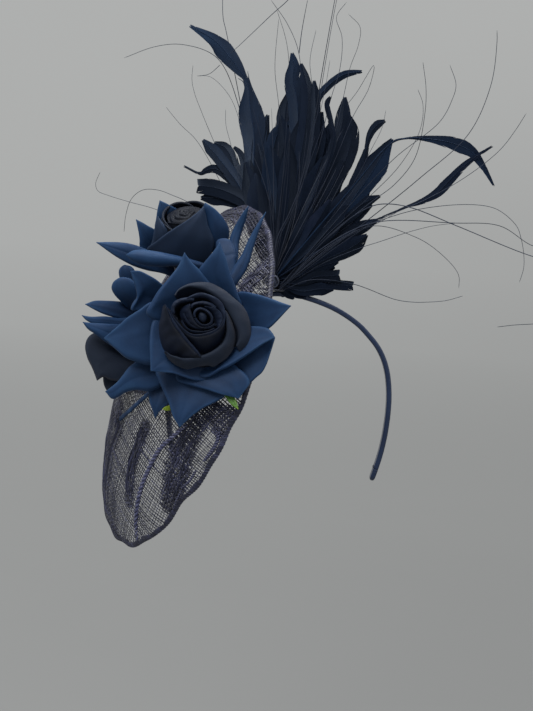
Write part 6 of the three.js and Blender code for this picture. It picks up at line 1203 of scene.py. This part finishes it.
# the crest of each fold gets a painted highlight, the rest of the crown stays dark
b.grid(Bp(rad_ * np.cos(q_), rad_ * np.sin(q_), zc_), closed_u=True, shade=np.clip(0.16 * fold_ ** 4 + 0.03 * np.sin(7 * q_), 0, 1))
wrap(b, Bp, 285, 200, 12.6, 12, 37.2, 0.6, 2.0, drop=5, seed=61, inner=0.15, base=0.5, belly=1.10, grow=0.06, tone=-0.12)
wrap(b, Bp, 150, 190, 13.4, 10, 37.8, 0.8, 2.2, drop=6, seed=62, inner=0.15, base=0.5, belly=1.10, grow=0.08, tone=-0.12)
wrap(b, Bp, 40, 180, 14.2, 10, 37.6, 0.8, 2.2, drop=6, seed=63, inner=0.15, base=0.5, belly=1.10, grow=0.08, tone=-0.10)
wrap(b, Bp, 215, 150, 15.0, 10, 34.6, 0.8, 2.2, drop=7, seed=68, inner=0.15, base=0.5, belly=1.10, grow=0.08, tone=-0.10)
petals_done(b, "rose_b_bud_core", SILK_CORE, ("rose_b_bud",), "petal_dark")
b = Bag()
group(b, "bb")
petals_done(b, "rose_b_bud_petals", SILK_DEEP, ("rose_b_bud",), "petal_dark")
b = Bag(); group(b, "bi")
petals_done(b, "rose_b_inner", SILK_BLUE, ("rose_b_inner_petals",), "petal_blue")
b = Bag(); group(b, "bo")
def pb(bag, z0, tip, W, out=5.0, **kw):
    pointed(bag, hub(Bp, z0, out, tip), tip, kw.pop("nrm", FRONT), W, **kw)
pb(b, 5.5, (-70.0, 12, 40.0), (14.0, 14.0), b1=4, b2=3, p=0.8, roll=1.5, seed=80, cup=40, knee=0.5, nrm=(-0.2, 0.6, 0.8))
petals_done(b, "rose_b_outer", SILK_BLUE, ("rose_b_outer_petals",), "petal_blue")
calyx("rose_b_calyx_green", Bp, "rose_b_calyx", 0.8)

# ---- side rose
Cp = Place((-88, -24.7, -36.3), (-0.87, -0.47, 0.15))
SIDE = np.array([-0.75, -0.62, 0.1])
b = Bag()
lathe_bag(b, Cp, [(0.01, 8), (5, 9), (8.6, 15), (7.6, 22), (3.6, 26.6), (0.01, 27.4)], 40, shade=0.2)
wrap(b, Cp, 40, 190, 9.2, 10, 26.5, 0.8, 2.2, drop=3, seed=81, inner=0.3)
wrap(b, Cp, 210, 190, 10.2, 10, 26.0, 0.8, 2.2, drop=3, seed=82, inner=0.3)
petals_done(b, "rose_c_bud_petals", SILK_DARK, ("rose_c_bud",), "petal_dark")
b = Bag(); group(b, "ci")
wrap(b, Cp, 180, 160, 13.0, 8.5, 25.0, 2.0, 2.4, drop=4, seed=84, inner=0.5, belly=1.1)
petals_done(b, "rose_c_inner", SILK_GREY, ("rose_c_inner_petals",), "petal_dark")
b = Bag(); group(b, "co")
def pc(bag, z0, tip, W, out=4.0, **kw):
    pointed(bag, hub(Cp, z0, out, tip), tip, kw.pop("nrm", SIDE), W, **kw)
pc(b, 5.5, (-108.0, 8, -30.0), (12.0, 12.0), b1=4, b2=3, p=0.7, roll=1.4, seed=94, cup=30, knee=0.5, nrm=(-0.8, 0.4, 0.2))
pc(b, 5.5, (-105.0, -8, -62.0), (12.0, 12.0), b1=4, b2=3, p=0.7, roll=1.4, seed=95, cup=30, knee=0.5, nrm=(-0.9, 0.0, -0.2))
petals_done(b, "rose_c_outer", SILK_BLUE, ("rose_c_outer_petals",), "petal_blue")
calyx("rose_c_calyx_green", Cp, "rose_c_calyx", 0.8)

# wrapped stems lying on the weave below the front rose
def flat_stem(bag, line, w, t, h):
    C2 = catmull(np.array(line, float), 50)
    base = disc(C2[:, 0], C2[:, 1], np.full(50, h))
    T, A_, B_ = frames(base)
    side = np.cross(T, DN); side /= np.linalg.norm(side, axis=1)[:, None]
    up = np.cross(side, T)
    a = np.linspace(0, 2 * np.pi, 12, endpoint=False)
    tw = 1 + 0.06 * np.sin(np.linspace(0, 60, 50))
    P = base[:, None] + (w * np.cos(a))[None, :, None] * side[:, None] * tw[:, None, None] + (t * np.sin(a))[None, :, None] * up[:, None]
    bag.grid(P, closed_u=True, shade=0.5 + 0.2 * np.sin(np.linspace(0, 30, 50))[:, None] * np.ones((1, 12)))
b = Bag()
flat_stem(b, [(11.3, 20.7), (19.3, 13.2), (26.8, 5.7), (34.8, -3.2), (42.3, -13.2)], 1.75, 0.9, 2.6)
b.done("rose_stems", SILK_BLUE, slot="petal_blue")

# ------------------------------------------------------------------ stage and light
def stage_mat():
    """Pale paper lit by its own emission, a painted glow: a little brighter above, a painted shadow low down and to one
    side, and fading to an even grey far out on the floor.
    """
    m, nt, b = new_mat("studio_paper_painted_glow")
    v = coords(nt)
    sep = N(nt, "ShaderNodeSeparateXYZ"); nt.links.new(v, sep.inputs[0])
    def span(src, lo, hi):
        r = N(nt, "ShaderNodeMapRange"); r.inputs["From Min"].default_value = lo; r.inputs["From Max"].default_value = hi
        r.interpolation_type = "SMOOTHSTEP"; nt.links.new(src, r.inputs["Value"]); return r.outputs[0]
    h = span(sep.outputs["Z"], -0.42, 0.75)
    up = ramp(nt, h, [(0.0, (0.215, 0.219, 0.217)), (0.12, (0.330, 0.336, 0.331)), (0.32, (0.378, 0.384, 0.379)), (1.0, (0.372, 0.378, 0.374))])
    low = math_node(nt, "SUBTRACT", 1.0, h)
    # painted shadow, darker low down towards +x
    shade = math_node(nt, "MULTIPLY", math_node(nt, "MULTIPLY", span(sep.outputs["X"], -0.6, 0.9), low), 0.30)
    glow = mix(nt, shade, up, (0.02, 0.022, 0.024))
    dist = N(nt, "ShaderNodeVectorMath", operation="LENGTH"); nt.links.new(v, dist.inputs[0])
    far = math_node(nt, "MULTIPLY", math_node(nt, "MULTIPLY", span(dist.outputs["Value"], 0.5, 1.9), low), 0.5)
    glow = mix(nt, far, glow, (0.285, 0.290, 0.287))
    # the emission is painted light: the backdrop glows in place of lamps lighting it
    nt.links.new(glow, b.inputs["Emission Color"]); b.inputs["Emission Strength"].default_value = 1.0
    nt.links.new(ramp(nt, noise(nt, v, 3.0, 2.0), [(0.0, (0.095, 0.096, 0.095)), (1.0, (0.105, 0.106, 0.105))]), b.inputs["Base Color"])
    b.inputs["Roughness"].default_value = 0.95
    b.inputs["Specular IOR Level"].default_value = 0.0
    return m
bag = Bag()
zf = -420.0
prof = [(0.5, zf), (600, zf), (1300, zf)] + [(1700 + 1000 * math.sin(a), zf + 1000 * (1 - math.cos(a))) for a in np.linspace(0.0, math.pi / 2, 18)] + [(2700, zf + 1800), (2700, zf + 3400)]
th_s = np.linspace(0, 2 * math.pi, 97)[:-1]
P = np.array([[[r * math.cos(t), r * math.sin(t), z] for t in th_s] for r, z in prof])
bag.grid(P, closed_u=True)
st = bag.done("backdrop", stage_mat(), body=None)

world = bpy.data.worlds.new("studio"); bpy.context.scene.world = world; world.use_nodes = True
bg = world.node_tree.nodes["Background"]
bg.inputs[0].default_value = (0.90, 0.93, 0.97, 1); bg.inputs[1].default_value = 0.40

def area(name, loc, target, size, power, color=(1, 1, 1)):
    l = bpy.data.lights.new(name, "AREA"); l.shape = "RECTANGLE"; l.size = size[0]; l.size_y = size[1]
    l.energy = power; l.color = color
    o = bpy.data.objects.new(name, l); bpy.context.scene.collection.objects.link(o)
    o.location = loc
    d = Vector(target) - Vector(loc)
    o.rotation_euler = d.to_track_quat("-Z", "Y").to_euler()
area("key", (-0.55, -1.00, 1.30), (-0.03, 0, 0.0), (0.8, 0.8), 23, (1.0, 0.99, 0.97))
area("top", (0.15, 0.10, 1.30), (0, 0, 0), (0.9, 0.7), 13, (0.97, 0.98, 1.0))
area("fill", (1.2, -0.9, 0.5), (0, 0, 0), (1.0, 1.4), 3.5, (0.94, 0.97, 1.0))
bpy.context.scene.view_settings.view_transform = "Standard"
